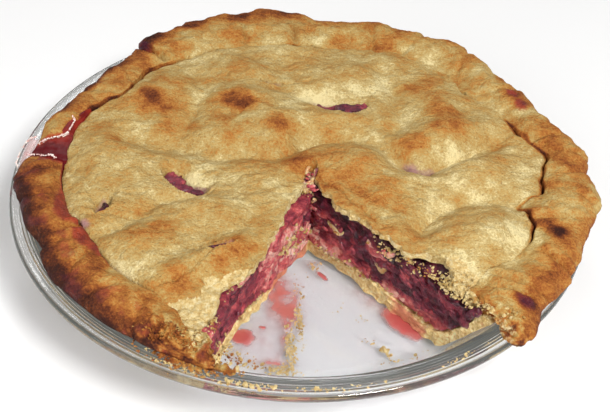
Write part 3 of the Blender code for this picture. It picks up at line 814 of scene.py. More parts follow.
def rim_colour(x, y, z, normal):
    """Toast, stain and torn crumb of the rolled rim; the toast also carries painted shade at the
    seam.
    """
    degrees, radius = bearing(x, y), math.hypot(x, y)
    share = across_rim(degrees, radius)
    side, ahead, away, into_pie = from_cut(x, y)
    cut_face = abs(normal.dot(into_pie.to_3d())) > 0.5
    at_cut = ease((4.0 - away) / 3.0) * (1.0 if cut_face else 0.2)
    left = between(degrees, 180, 10, 262, 8)
    toast = 0.28 + 0.16 * ease((share - 0.5) / 0.5)
    toast += left * (0.27 + 0.14 * ease((share - 0.3) / 0.6))
    toast += 0.12 * between(degrees, 128, 14, 200, 14) + 0.05 * between(degrees, 50, 20, 160, 20)
    toast += 0.06 * between(degrees, 118, 10, 172, 10) - 0.16 * between(degrees, 222, 12, 262, 6)
    toast += 0.22 * lumps(x, y, z, 13, 7) + 0.16 * lumps(x, y, z, 5, 3) + browning_and_painted_light(x, y)
    toast += 0.12 * ease((43 - z) / 4) + 0.45 * crumbled(x, y) * crumbly(x, y, z, 3.4, 5)
    # painted shade in the crack along the seam
    toast += painted_seam_shade(degrees, radius)
    film_edge = read_along(RIM_FILM, degrees)[0] + 0.06 * lumps(x, y, 0, 4, 3)
    pool_edge = 0.06 + 0.6 * ease((degrees - 171) / 4) + 0.1 * lumps(x, y, z, 4)
    soaked = left * ease((share - 0.2) / 0.3) * ease(0.4 + 1.6 * lumps(x, y, z, 6, 9))
    stain = max(0.82 * ease((film_edge + 0.08 - share) / 0.3),
                0.85 * ease((0.05 - share) / 0.04) * between(degrees, 182, 3, 238, 4),
                0.85 * ease((pool_edge - share) / 0.12) * between(degrees, 160, 5, 186, 3),
                0.9 * ease((2.2 - past_break(degrees, radius)) / 1.6), 0.5 * soaked,
                *(strength * patch(x, y, *oval) for *oval, strength in RIM_DROPS))
    if side == "right" and radius > 98:
        toast += 0.22 * ease((16 - away) / 8) * ease((48 - z) / 4)
        at_cut *= 0.55
    return toast, stain, at_cut * 0.9


rim = make_piece("rolled_rim", rolled_rim(),
                 baked_crust("baked_rim", (176, 74, 44), (72, 26, 40)),
                 ["bottom_crust"])
paint(rim, rim_colour, CRUST_LAYERS)

# ---- bottom crust ----
# The sheet of shortcrust that lines the dish, under the rim and the fruit.  Where it was cut
# its crumb shows as a thin yellow band, and juice has soaked into its upper face.


FLOOR_UNDER, FLOOR_OVER = 5.4, 11.0       # heights of its two faces on the dish's floor
UNDER_RADIUS, OVER_RADIUS = 83.5, 79      # where each face turns up the wall
FLOOR_SHARE = 0.75                        # share of the sheet's strips that lie on the floor


def smooth_line(points, share):
    """A point at a share of the way along a smooth curve through points."""
    at = share * (len(points) - 1)
    low = min(int(at), len(points) - 2)
    t = at - low
    p = [points[min(len(points) - 1, max(0, low + k))] for k in (-1, 0, 1, 2)]
    return tuple(0.5 * (2 * b + (c - a) * t + (2 * a - 5 * b + 4 * c - d) * t * t
                        + (3 * b - a - 3 * c + d) * t ** 3) for a, b, c, d in zip(*p))


def lining_sheet():
    """A thin block laid over the floor and up the wall, torn where it was cut."""
    bm = block(200, 72, 6)
    for vert in bm.verts:
        around, along, through = vert.co
        direction = heading(around)
        if along <= FLOOR_SHARE:
            share = along / FLOOR_SHARE
            low = (run_to(direction, UNDER_RADIUS) * share, FLOOR_UNDER)
            high = (run_to(direction, OVER_RADIUS) * share, FLOOR_OVER)
        else:
            share = (along - FLOOR_SHARE) / (1 - FLOOR_SHARE)
            seam = rim_at(bearing(*(APEX + direction * run_to(direction, RIM_MIDDLE))))[0]
            under, z_under = smooth_line((
                (UNDER_RADIUS, FLOOR_UNDER), (88.3, 8.2), (98.2, 22), (107.8, 35.5),
                (109.8, FLANGE_CLEAR + 0.9)), share)
            over, z_over = smooth_line((
                (OVER_RADIUS, FLOOR_OVER), (84.4, 12.8), (92.8, 21.5), (101, 34),
                (seam + 0.8, FLANGE_CLEAR + 1.2)), share)
            low = (run_to(direction, under), z_under)
            high = (run_to(direction, over), z_over)
        far = low[0] + (high[0] - low[0]) * through
        z = low[1] + (high[1] - low[1]) * through
        spot = APEX + direction * far
        x, y = settle_cut(spot.x, spot.y, z, "crust", rough=0.8, grain=5)
        side, ahead, away, into_pie = from_cut(*spot)
        near = ease((5 - away) / 3) * through
        if side == "right":
            z += 2.6 * near * between(ahead, 6, 8, 58, 14)
        z += (0.5 + 1.6 * near) * through * crumbly(x, y, 0, 4, 2)
        layer = 1.3 * noise.noise(Vector((ahead / 4, z / 1.2, 2.0)))
        layer += 1.0 if side == "right" else -1.6 * ease((ahead - 40) / 14) + 0.6
        layer *= ease((4 - away) / 4) * ease(ahead / 8)
        vert.co = (x - into_pie.x * layer, y - into_pie.y * layer, z)
    close_up(bm)
    return bm


def lining_colour(x, y, z, normal):
    """Golden against the glass, wet and pink where it carries the fruit."""
    side, ahead, away, into_pie = from_cut(x, y)
    cut_face = away < 7 and abs(normal.dot(into_pie.to_3d())) > 0.3
    toast = 0.3 + 0.16 * lumps(x, y, z, 11) + 0.1 * lumps(x, y, z, 4)
    if not cut_face:
        return toast, 0.75 if normal.z > 0.2 and away > 6 else 0.25, 0.7 * ease((7 - away) / 3)
    stain = 0.35 * ease((z - 11) / 2) * ease(0.5 + 1.5 * lumps(ahead, 0, z, 6))
    if side == "right":
        stain += 0.7 * between(ahead, 45, 8, 72, 7)
        stain += 0.5 * ease(2.2 * lumps(ahead, 4, z, 4) - 0.5)
        toast += 0.5 * patch(ahead, z, 79, 12, 3, 4, 0)
    else:
        stain += 0.7 * ease((34 - ahead) / 8) + 0.5 * lumps(ahead, 2, z, 5)
    torn = 1.0 - 0.4 * ease((ahead - 72) / 8)
    return toast, stain, torn


# the lining's crumb is painted 1.15 times paler: painted light on its cut band, which lies in
# shade
lining = make_piece("bottom_crust_lining", lining_sheet(),
                    baked_crust("baked_lining", (226, 146, 112), (196, 96, 86), 1.15),
                    ["bottom_crust"])
paint(lining, lining_colour, CRUST_LAYERS)

# ---- filling ----
# Rhubarb stewed with sugar until it slumps: a wet mass of stalk fibres in set juice, dark
# plum where it is thick and pink where the light comes through.


FRUIT_FLOOR, FRUIT_HEIGHT = 11.4, 26.6
# height and radius of the lining's inner face, where the filling ends
LINED_WALL = ((FRUIT_FLOOR, 79.4), (13, 84.2), (17, 88.2), (21.5, 92.2), (28, 96.8),
              (34, 100.6), (38, 102))


def filling_point(around, along, through):
    """Where a point of the filling's block lies, between the lining and the lid."""
    direction = heading(around)
    wall = read_along(LINED_WALL, FRUIT_FLOOR + FRUIT_HEIGHT * through)[0]
    spot = APEX + direction * run_to(direction, wall) * along
    over = lid_height(*spot) - LID_THICKNESS - 0.45 - 1.0 * ease((spot.length - 78) / 18)
    over -= 10 * patch(*spot, 55, -56, 9, 5, -46)
    return spot.x, spot.y, FRUIT_FLOOR + (over - FRUIT_FLOOR) * through


def fibre_relief(ahead, z):
    """Lumps and strands of the cut fruit."""
    relief = 1.5 * lumps(ahead, z * 1.3, 0, 9.5, 3) + 1.3 * lumps(ahead, z * 1.2, 0, 4.2, 6)
    strand = noise.noise(Vector((ahead / 7, (z + ahead * 0.2) / 2.2, 4.0)))
    return relief + 0.25 * strand + 0.5 * crumbly(ahead, z, 0, 1.8, 8.0)


def face_stand(side, ahead, z):
    """How far the cut face of the filling stands into the gap."""
    stand = read_along(CUT_EDGES["filling"][side], ahead)[0] + 0.09 * (z - 24)
    held = ease((z - 9) / 6)
    slump = 1.2 * ease((18 - z) / 7) * ease((30 - ahead) / 12) - 1.2 * (1 - held)
    return stand + slump + (0.35 + 0.65 * held) * fibre_relief(ahead if side == "right"
                                                               else -ahead, z)


def stewed_mass():
    """A block that fills the crust, its two cut faces pushed out into lumps and strands."""
    bm = block(60, 150, 42)
    for vert in bm.verts:
        x, y, z = filling_point(*vert.co)
        side, ahead, away, into_pie = from_cut(x, y)
        if away < 12:
            push = face_stand(side, ahead, z) * ease((ahead + 1) / 8) * ease((12 - away) / 11)
            x, y = x - into_pie.x * push, y - into_pie.y * push
        vert.co = (x, y, z)
    close_up(bm)
    return bm


def stewed_rhubarb():
    """Wet fruit from plum to pink, with pale mashed crust where the cut dragged it in."""
    material, place, shader = new_material(
        "stewed_rhubarb", Subsurface_Weight=0.45, Subsurface_Radius=(0.006, 0.0016, 0.0014),
        Subsurface_Scale=0.5, Coat_Roughness=0.07, IOR=1.4)
    pink, pale = painted(place, "pink"), painted(place, "pale")
    blotch = place.mottle(3.6 * MM, 4, 0.6) * 0.8
    speck = place.mottle(1.0 * MM, 3, 0.7)
    colour = (pink + blotch + speck * 0.7).ramp(
        (0.0, 44, 10, 20), (0.25, 88, 26, 44), (0.5, 140, 52, 66), (0.75, 200, 92, 94),
        (1.0, 238, 184, 168))
    bread = place.speckle(1.8 * MM, 3, 0.7).ramp((0.35, 186, 138, 78), (0.65, 226, 196, 146))
    share = (pale + place.mottle(2.2 * MM, 3, 0.7) * 1.1).between(0.42, 0.62)
    feed(shader, Base_Color=bread.over(colour, share * 0.9),
         Coat_Weight=place.speckle(2.0 * MM, 2).between(0.5, 0.7) * 0.6,
         Roughness=place.speckle(1.5 * MM, 3).between(0.2, 0.9) * 0.3 + 0.3,
         Normal=bump(place.speckle(0.9 * MM, 4, 0.65), 0.5 * MM, 0.9))
    return material


# distance along the cut, height, length, width, turn and strength of each pinker place on the
# two cut faces, and of each place where crust is mashed into the fruit
PINKER = {
    # the pinker place at 6, 33 on the right face is painted light where the lid's shadow darkens
    # the face near the point
    "right": ((12, 17, 14, 8, 0, 0.3), (6, 33, 13, 9, 0, 0.34), (36, 33, 5, 6, 0, 0.2),
              (79, 33, 10, 4, -20, 0.22), (56, 37, 8, 2, 0, 0.2)),
    "left": ((40, 27, 8, 8, 0, 0.24), (22, 26, 14, 9, 0, 0.18), (64, 31, 12, 6, 0, -0.14)),
}
MASHED = {
    "right": ((41, 24, 4, 3, 0, 0.5), (10, 14, 9, 3, 0, 0.25)),
    "left": ((22, 27, 12, 7, 0, 0.58), (30, 12, 14, 5, 0, 0.4), (7, 36, 7, 7, 0, 0.45),
             (52, 41, 12, 3, 0, 0.3)),
}


def face_tone(side, ahead, z):
    """How pink the fruit is on a cut face, with some painted light near the point, and how much
    crust is mashed into it.
    """
    low, high = ease((22 - z) / 9), ease((z - 33) / 5)
    if side == "right":
        pink, shift = 0.28 + 0.46 * low - 0.28 * high, 0
        pink += 0.2 * ease(3 * lumps(ahead, z, 0, 5.5, 9) - 0.6)
    else:
        pink, shift = 0.5 + 0.12 * low - 0.04 * high + 0.2 * ease((42 - ahead) / 8), 40
    pink += 0.3 * lumps(ahead + shift, z * 1.3, 0, 8, 3) + 0.18 * lumps(ahead, z * 1.6, 0, 3.5, 6)
    return pink + patches(ahead, z, PINKER[side]), patches(ahead, z, MASHED[side])


def filling_colour(x, y, z, normal):
    """The tone of the cut faces, and plain dark fruit away from them."""
    side, ahead, away, into_pie = from_cut(x, y)
    if away > 10:
        return 0.12, 0.0
    return face_tone(side, ahead, z)


fruit_finish = stewed_rhubarb()
mass = make_piece("stewed_filling", stewed_mass(), fruit_finish,
                  ["filling"], 80)
paint(mass, filling_colour, ("pink", "pale"))

# ---- rhubarb pieces ----
# Short lengths of stalk that kept their shape, and the loose strands between them, standing
# out of the cut faces and showing under the slits of the lid.


def stalk(bm, size, spot, turn, seed, tone, detail=4):
    """Adds one ribbed, bent length of stalk: its size, middle, turn and (pink, pale)."""
    length, width, height = size
    layers = [bm.verts.layers.float[name] for name in ("pink", "pale")]
    made = bmesh.ops.create_icosphere(bm, subdivisions=detail, radius=1)["verts"]
    for vert in made:
        x, y, z = vert.co
        round_off = (1 - abs(x) ** 3) ** 0.35 / max(1e-3, math.hypot(y, z)) if abs(x) < 1 else 0
        y, z = y * round_off, z * round_off
        rib = 1 + 0.08 * math.cos(6 * math.atan2(z, y)) + 0.5 * lumps(x * 2, y, z, 1.0, seed)
        bend = 0.3 * (x * x - 0.3) + 0.5 * lumps(x, 0, 0, 0.8, seed)
        vert.co = Vector((x * length / 2, y * rib * width / 2 + bend * width,
                          z * rib * height / 2))
        for layer, value in zip(layers, tone):
            vert[layer] = value + 0.2 * lumps(*vert.co, 3, seed)
    bmesh.ops.transform(bm, matrix=Matrix.Translation(spot) @ turn, verts=made)


def face_spot(side, ahead, z, out):
    """A point on the filling's cut face, stood out of it by a distance."""
    along, into_pie = (way.to_3d() for way in CUTS[side])
    return (APEX.to_3d() + along * ahead - into_pie * (face_stand(side, ahead, z) + out)
            + Vector((0, 0, z)))


def lie_on_face(side, slope):
    """Turns a stalk to lie on a cut face, sloping down away from the apex."""
    along, into_pie = (way.to_3d() for way in CUTS[side])
    lie = (along + Vector((0, 0, slope))).normalized()
    return Matrix((lie, lie.cross(into_pie).normalized(), -into_pie)).transposed().to_4x4()


# stalks on the cut faces: distance along the cut, height, slope, length, width and thickness,
# how pink and how pale
STALKS = (
    ("right", (
        (39.5, 32, 0.5, 15, 10, 8, 0.86, 0), (41, 24, 0.2, 6, 4, 3, 0.4, 0.7),
        (17, 29.5, -0.2, 8, 3, 4, 1, 1.2), (46, 36, 0.3, 7, 3, 3, 0.8, 0.4),
        (23, 22, 0, 9, 5, 3, 0.5, 0), (52, 24, -0.3, 12, 7, 4, 0.2, 0),
        (62, 29, -0.2, 13, 5, 4, 0.26, 0), (72, 24, -0.1, 12, 5, 4, 0.22, 0),
        (76, 33, -0.4, 10, 4, 4, 0.45, 0), (30, 33, 0.2, 8, 5, 3, 0.16, 0),
        (8, 27, 0.9, 9, 4, 3, 0.3, 0))),
    ("left", (
        (33, 25, 0.3, 12, 9, 5, 0.66, 0), (31, 14, 0.2, 10, 6, 4, 0.68, 0),
        (18, 29, 0.5, 6, 3, 3, 0.6, 0.3), (25, 24, 0, 6, 3, 3, 0.6, 0.3),
        (10, 33, 0.8, 8, 4, 4, 0.25, 0), (50, 30, 0, 14, 6, 4, 0.4, 0),
        (62, 33, -0.2, 12, 6, 4, 0.26, 0), (70, 27, -0.2, 10, 5, 4, 0.42, 0),
        (8, 18, 0.6, 9, 4, 3, 0.7, 0.3), (90, 37, 0.7, 9, 7, 6, 0.62, 0),
        (58, 39, 0.2, 10, 4, 3, 0.9, 0.45), (84, 30, 0.4, 9, 5, 4, 0.5, 0))),
    ("right", ((84, 31, 0.9, 12, 6, 4, 0.28, 0), (91, 38, 1, 9, 4, 3, 0.14, 0))),
)
# stalks under the slits: x, y, depth below the lid, turn, length, width and how pink
UNDER_SLITS = (
    (-52, -12, 0.6, -47, 10, 7.4, 0.42), (-47.6, -16, 0.5, -42, 12, 7.6, 0.34),
    (-43, -19.3, 1.4, -15, 9, 3.6, 0.26), (20.5, 39.6, -0.5, 4, 13, 7.6, 0.22),
    (25.5, 40.4, -0.7, 40, 5, 5, 0.45), (11, 42.4, 3, -8, 12, 5.6, 0.4),
    (46.5, 0.5, 2, -30, 7, 1.6, 0.2), (-30, -56.4, 2, 18, 12, 2.2, 0.14),
    (-77.3, -33, 2, 60, 8, 4, 0.12), (-15.5, 56.3, 2.2, -5, 7, 1.6, 0.1),
)


def stalk_pieces():
    """The stalks, then loose strands over the two faces and at the torn point of the lid."""
    bm = bmesh.new()
    for name in ("pink", "pale"):
        bm.verts.layers.float.new(name)
    pick = random.Random(5)
    for side, rows in STALKS:
        for ahead, z, slope, length, width, height, pink, pale in rows:
            stalk(bm, (length, width, height), face_spot(side, ahead, z, -height * 0.24),
                  lie_on_face(side, slope), ahead + z, (pink, pale))
    for _ in range(210):
        side = pick.choice(("left", "right"))
        z = pick.uniform(13, 37)
        ahead = pick.uniform(1, read_along(LINED_WALL, z)[0] - 17)
        pink, pale = face_tone(side, ahead, z)
        tone = pink + pick.gauss(0.03, 0.1), pale
        size = pick.uniform(3, 9), pick.uniform(0.8, 2.6), pick.uniform(0.8, 1.6)
        stalk(bm, size, face_spot(side, ahead, z, pick.uniform(-0.5, 0.15)),
              lie_on_face(side, pick.gauss(-0.1, 0.5)), ahead + z, tone, 2)
    for _ in range(44):
        spot = APEX.to_3d() + Vector((pick.uniform(-2.4, 1.6), pick.uniform(-6, 3.5),
                                      pick.uniform(38, 46.5)))
        turn = Matrix.Rotation(pick.uniform(0, math.tau), 4, 'Z') @ Matrix.Rotation(
            pick.uniform(-1.1, 1.1), 4, 'Y')
        width = pick.uniform(1.0, 2.2)
        stalk(bm, (pick.uniform(2.5, 6), width, width * 0.7), spot, turn, spot.z,
              (pick.uniform(0.4, 0.9), pick.uniform(0, 0.8)), 2)
    for x, y, depth, degrees, length, width, pink in UNDER_SLITS:
        turn = Matrix.Rotation(math.radians(degrees), 4, 'Z')
        spot = Vector((x, y, lid_height(x, y) - depth - 1.7))
        stalk(bm, (length, width, 3.4), spot, turn, x, (pink, 0))
    bmesh.ops.recalc_face_normals(bm, faces=bm.faces[:])
    return bm


make_piece("rhubarb_pieces", stalk_pieces(), fruit_finish, (), 80)

# ---- top crust ----
# The lid is one rolled sheet laid over the heaped fruit.  It sank between the pieces as it
# baked, so it has swells that browned and pale valleys, and steam slits cut by a knife.

# half width, and the line of each slit
SLITS = (
    (3.5, line((-56.5, -8), (-51, -12.6), (-46, -17.2), (-36.5, -20.9))),
    (3.9, line((2.5, 44), (10, 41.2), (19, 39.5), (28, 40.5))),
    (1.7, line((42.5, 5), (46.6, 0.4), (50, 0.6), (55, 3))),
    (1.2, line((-38, -57.2), (-30.4, -57), (-22, -52.6))),
    (1.0, line((-20, 56.5), (-15, 56), (-10, 55.8))),
    (2.4, line((-79.5, -37), (-77.5, -33.5), (-75.5, -27.5))),
    (2.0, line((5.6, -2.5), (4.6, -8), (3.6, -15))),
)
SLIT_DEPTH = 4.0    # down to the fruit
LID_MIDDLE = 98     # a radius near the seam, where the lid's bearing is taken
creases_near = Nearby(CREASES, lambda row: (row[2][0], row[2][1], row[2][2] + 6))
slits_near = Nearby(SLITS, lambda row: (row[1][0], row[1][1], row[1][2] + row[0] + 8))


def along_slit(x, y, path):
    """Share of the way along a slit, from its first end to its last."""
    (ax, ay), (bx, by) = path[3][0], path[3][-1]
    return ((x - ax) * (bx - ax) + (y - ay) * (by - ay)) / ((bx - ax) ** 2 + (by - ay) ** 2)


def slit_drop(x, y):
    """How far the lid drops into its slits at a point."""
    drop = 0.0
    for half, path in slits_near(x, y):
        near = to_path(x, y, path, half + 8)
        if near >= half + 8:
            continue
        share = along_slit(x, y, path)
        if not 0 < share < 1:
            continue
        taper = math.sqrt(1 - (2 * share - 1) ** 2)
        wide = half * taper + 0.3 * lumps(x, y, 0, 3, half)
        drop = max(drop, SLIT_DEPTH * ease((wide - near) / 0.9 + 0.6))
        (ax, ay), (bx, by) = path[3][0], path[3][-1]
        if y > ay + (by - ay) * share:
            drop = max(drop, 0.8 * half * taper * math.exp(-((near - half) / 3.5) ** 2))
    return drop


def broken(x, y):
    """How far the lid's baked skin has crumbled away, beside the cuts."""
    side, ahead, away, into_pie = from_cut(x, y)
    if away > 24:
        return 0.0
    if side == "left":
        reach = 12 * ease((ahead - 58) / 14) + 7 * ease((ahead - 80) / 12)
    else:
        reach = 11 * ease((ahead - 62) / 10)
    reach += (1.0 + 0.25 * reach) * (lumps(x, y, 0, 7, 2) + 0.6 * lumps(x, y, 0, 2.6, 5))
    return ease((reach - away) / 1.6)


def lid_sheet():
    """A sheet in fine strips, coarse underneath, shaped by swells, valleys, cracks and slits."""
    bm = block(520, 125, 6)
    under = [v for v in bm.verts if v.co.z < 0.001 and 0.01 < v.co.x < 0.99
             and 0.05 < v.co.y < 0.98]
    bmesh.ops.unsubdivide(bm, verts=under, iterations=4)
    edges = {}
    for vert in bm.verts:
        around, along, through = vert.co
        direction = heading(around)
        if around not in edges:
            degrees = bearing(*(APEX + direction * run_to(direction, LID_MIDDLE)))
            edges[around] = (rim_at(degrees)[0], read_along(RIM_FORM, degrees)[1])
        seam, opened = edges[around]
        full = run_to(direction, seam - 0.2)
        spot = APEX + direction * full * along
        x, y = settle_cut(*spot, 44 + through, "lid", rough=1.3, grain=4)
        z = lid_height(x, y)
        thick = LID_THICKNESS - 2.0 * ease((7 - from_cut(x, y)[2]) / 6)
        if through > 0.001:
            top = z + 0.4 * crumbly(x, y, 0, 7, 3) + 0.4 * lumps(x, y, 0, 3.3, 4)
            top += 0.24 * lumps(x, y, 0, 1.9)
            ripple = noise.noise(Vector((x / 16, y / 3.4, 2.0)))
            top += 0.45 * ripple * ease((lumps(x, y, 0, 30, 9) + 0.1) / 0.4)
            for width, depth, path in creases_near(x, y):
                near = to_path(x, y, path, 6)
                if near < 6:
                    top -= depth / (1 + (near / width) ** 2)
            gone = broken(x, y)
            top -= gone * (1.0 + 0.8 * crumbly(x, y, 0, 3.6, 7) + 0.5 * crumbly(x, y, 0, 1.5, 3))
            top -= slit_drop(x, y)
            from_edge = full * (1 - along)
            top -= opened * 1.6 * (1 - ease(from_edge / 2.4)) ** 2
            z = z - thick + (top - z + thick) * through
        else:
            z -= thick
        vert.co = (x, y, z)
    close_up(bm)
    return bm


# centre x and y, length, width, turn and strength of juice at the slits and the point
LID_JUICE = (
    (9, 43.6, 7, 2.6, -12, 0.8), (47, 3.6, 6, 3.2, -25, 0.75), (53, 3, 7, 2.4, 10, 0.6),
    (3.6, -12, 7, 3, 78, 0.6), (-38, -19, 5, 2, 0, 0.5), (-83, -43.5, 4, 2.4, -40, 0.8),
)


def lid_colour(x, y, z, normal):
    """Toast, stain and torn crumb of the lid; the toast also carries painted highlight and shade.
    """
    side, ahead, away, into_pie = from_cut(x, y)
    torn = broken(x, y)
    if away < 5 and normal.z < 0.45:
        torn = 1.0
    toast = 0.2 + 0.035 * swelling(x, y) - 0.02 * sinking(x, y) + browning_and_painted_light(x, y)
    toast += 0.14 * lumps(x, y, 0, 17, 5) + 0.12 * lumps(x, y, 0, 6, 8)
    # painted shade in the crack along the seam
    toast += painted_seam_shade(bearing(x, y), math.hypot(x, y))
    if side == "right":
        baked = ease((52 - ahead) / 8) * ease((7 - away) / 5)
        toast, torn = toast + 0.12 * baked, torn * (1 - 0.45 * baked)
    stain = max(strength * patch(x, y, *oval) for *oval, strength in LID_JUICE)
    for half, path in slits_near(x, y):
        near = to_path(x, y, path, half + 4)
        if near < half + 4:
            taper = between(along_slit(x, y, path), 0, 0.3, 1, 0.15)
            stain = max(stain, 0.62 * ease((half + 1.2 - near) / 2.2) * taper)
    return toast, stain, torn


lid = make_piece("pastry_lid", lid_sheet(),
                 baked_crust("baked_lid", (176, 132, 128), (120, 76, 88)),
                 ["top_crust"])
paint(lid, lid_colour, CRUST_LAYERS)

# ---- leaked juice ----
# Juice that boiled out through the burst rim, ran along the seam and down over the edge of
# the glass, and set there as a thin shiny red glaze.


def set_juice():
    """Clear red juice: darker where it is thick, with white painted highlight along its edges."""
    material, place, shader = new_material(
        "set_juice", Subsurface_Weight=0.2, Subsurface_Radius=(0.003, 0.0005, 0.0004),
        Subsurface_Scale=0.5, Specular_IOR_Level=0.14)
    depth, froth = painted(place, "depth"), painted(place, "froth")
    colour = (depth + place.mottle(3 * MM, 3) * 0.7).ramp((0.1, 156, 50, 36),
                                                          (0.9, 92, 14, 20))
    # near-white painted highlight along the juice's edges
    glint_white = place.plain(240, 222, 208)
    white = (froth + place.mottle(1.4 * MM, 2) * 0.8).between(0.4, 0.7)
    feed(shader, Base_Color=glint_white.over(colour, white * 0.9),
         Roughness=0.3 + place.speckle(2 * MM, 2) * 0.2,
         Normal=bump(place.speckle(2.4 * MM, 3, 0.6), 0.5 * MM, 0.7))
    return material


LEAK_ANGLES = (159, 187)    # the sheet of juice lies between these
TAIL = 161.5                # the juice crept back along the seam to about here
POOL_HEIGHT = 43.2          # the juice's upper face inside the burst


def leak_cover(x, y):
    """Thickness of the glaze at a point, less than nothing where there is none."""
    degrees, radius = bearing(x, y), math.hypot(x, y)
    wobble = 0.9 * lumps(x, y, 0, 4.5, 2)
    seam, outer, top = rim_at(degrees)
    thickness = -1.0
    if radius > seam - 1.5:
        thickness = min(1.0, (0.5 + 0.6 * wobble - past_break(degrees, radius)) * 0.6)
    tail = TAIL + wobble
    if tail < degrees < BREAK[0] + 4:
        run = (degrees - tail) / (BREAK[0] - tail)
        half = 0.5 + 1.7 * run
        thickness = max(thickness, min(1.0, (half - abs(radius - seam - 0.6 * half)
                                             + 0.4 * wobble) * 0.6))
    return thickness


def leak_sheet():
    """A thin block that fills the burst, follows the seam and ends just over the glass."""
    bm = block(260, 70, 1)
    for vert in bm.verts:
        around, across, through = vert.co
        degrees = LEAK_ANGLES[0] + (LEAK_ANGLES[1] - LEAK_ANGLES[0]) * around
        seam, outer, top = rim_at(degrees)
        in_break = between(degrees, BREAK[0] - 2.5, 3, BREAK[1] + 2.5, 3)
        radius = seam - 0.9 + (outer + 0.8 * in_break - seam - 0.5) * across ** 1.2
        x, y = on_circle(degrees, radius)
        cover = leak_cover(x, y)
        ground = rim_height(degrees, max(radius, seam + 0.1))
        share = (radius - seam) / (outer - seam)
        pool = POOL_HEIGHT - 2.2 * ease((share - 0.55) / 0.5) + 0.5 * lumps(x, y, 0, 3.6, 3)
        beside = past_break(degrees, radius)
        z = max(min(ground, burst_height(beside)), pool - 6 * ease(beside / 4))
        z += 0.5 * rim_relief(x, y, z) * ease(beside / 3)
        z += 0.75 * min(1.0, cover) if cover > 0 else 1.2 * cover
        if radius < seam + 0.3 and cover <= 0:
            z -= 1.0
        if through < 0.5:
            z = min(z - 0.9, 41.5) if in_break > 0.5 else z - 1.6
        vert.co = (x, y, z)
    close_up(bm)
    return bm


def leak_colour(x, y, z, normal):
    """Depth of the juice, and painted highlight along the edge of the burst."""
    radius = math.hypot(x, y)
    beside = past_break(bearing(x, y), radius)
    edge = abs(beside - 0.6 + 1.3 * lumps(x, y, 0, 3, 6))
    froth = ease(1.2 - edge / 0.7) * ease((radius - 98) / 4)
    return 0.55 + 0.4 * lumps(x, y, z, 6) + 0.3 * ease(-beside / 4), froth


leak = make_piece("juice_glaze", leak_sheet(), set_juice(), ["leaked_juice"], 80)
paint(leak, leak_colour, ("depth", "froth"))

# ---- painted glints ----
# Lines of tiny white beads where the juice meets the crust and the glass: painted highlight
# that stands in for the glints on its wet edges.

# angle, radius and height along each line of white beads, which are painted highlight
PAINTED_GLINT_LINES = (
    ((167.2, 101.6, 46.3), (168.6, 99.6, 46.2), (171, 99.8, 45.6), (173, 100.6, 44.6),
     (174.2, 103.5, 44.4), (175.2, 107.6, 43.8), (176.2, 111, 42.8)),
    ((180.4, 114, 42.2), (181, 110, 43.8), (182.2, 106.6, 45.0), (181.8, 103.6, 45.2),
     (183.6, 100.8, 45.8)),
    ((171, 115.6, 37.6), (172, 118.2, 37.8), (174, 119.6, 37.2), (177, 120, 36.4),
     (180, 119.6, 37.0), (181.8, 118, 37.8)),
)


def painted_glint_beads():
    """Small round beads scattered close along each line."""
    bm = bmesh.new()
    pick = random.Random(3)
    for path in PAINTED_GLINT_LINES:
        for low, high in zip(path, path[1:]):
            for _ in range(15):
                share = pick.random()
                degrees, radius, z = (a + (b - a) * share for a, b in zip(low, high))
                size = pick.uniform(0.2, 0.42)
                made = bmesh.ops.create_icosphere(bm, subdivisions=1, radius=size)["verts"]
                x, y = on_circle(degrees + pick.gauss(0, 0.1), radius + pick.gauss(0, 0.2))
                bmesh.ops.translate(bm, verts=made, vec=(x, y, z + 0.3 + pick.gauss(0, 0.15)))
    return bm


# white beads: painted highlight where the wet juice glints
glint_finish, place, shader = new_material("painted_juice_glints", Coat_Weight=0.4, Roughness=0.3)
feed(shader, Base_Color=place.speckle(2 * MM, 2).ramp((0.35, 226, 176, 168),
                                                      (0.6, 246, 238, 230)))
make_piece("painted_juice_glints", painted_glint_beads(), glint_finish, (), 80)

# ---- juice on the glass ----
# Drops of juice that ran out of the cut filling and set on the floor of the dish, with pink
# smears that the knife left between them, and a clear film inside the ring of white beads.

# centre x and y, length, width and turn of each drop
PUDDLES = (
    (-19, -63, 5.6, 5.2, 0), (45.5, -51, 12, 6.2, -42), (-12, -57, 2.2, 1.4, -10),
    (11.5, -25.5, 4.6, 1.9, -48), (30, -60, 0.9, 0.8, 0),
)


def puddle_cover(x, y):
    """1 in the middle of a drop, 0 at its edge and less than nothing outside it."""
    cover = -1.0
    for cx, cy, length, width, turn in PUDDLES:
        a = math.radians(turn)
        along = ((x - cx) * math.cos(a) + (y - cy) * math.sin(a)) / length
        across = ((y - cy) * math.cos(a) - (x - cx) * math.sin(a)) / width
        edge = 1 - math.hypot(along, across) + 0.18 * lumps(x, y, 0, 3.5, 4)
        cover = max(cover, edge)
    return cover


def floor_grid(across, along, middle):
    """A flat grid in the open wedge, 92 wide and 68 deep about its middle."""
    bm = bmesh.new()
    bmesh.ops.create_grid(bm, x_segments=across, y_segments=along, size=1)
    bmesh.ops.transform(bm, verts=bm.verts[:], matrix=Matrix.Translation(middle)
                        @ Matrix.Diagonal((46, 34, 1, 1)))
    return bm


def puddles():
    """A grid raised into drops; what stays dry is cut away, and the rest gets an underside."""
    bm = floor_grid(150, 110, (16, -50, 0))
    for vert in bm.verts:
        cover = puddle_cover(vert.co.x, vert.co.y)
        vert.co.z = DISH_FLOOR - 0.1 + (0.55 * math.sqrt(min(1.0, cover * 1.6))
                                        if cover > 0 else 0)
    dry = [v for v in bm.verts if v.co.z < DISH_FLOOR - 0.05]
    bmesh.ops.delete(bm, geom=dry, context='VERTS')
    for vert in bm.verts:
        if vert.is_boundary:
            vert.co.z = DISH_FLOOR + 0.03
    made = bmesh.ops.extrude_face_region(bm, geom=bm.faces[:])
    for item in made["geom"]:
        if isinstance(item, bmesh.types.BMVert):
            item.co.z = DISH_FLOOR + 0.01
    bmesh.ops.recalc_face_normals(bm, faces=bm.faces[:])
    return bm


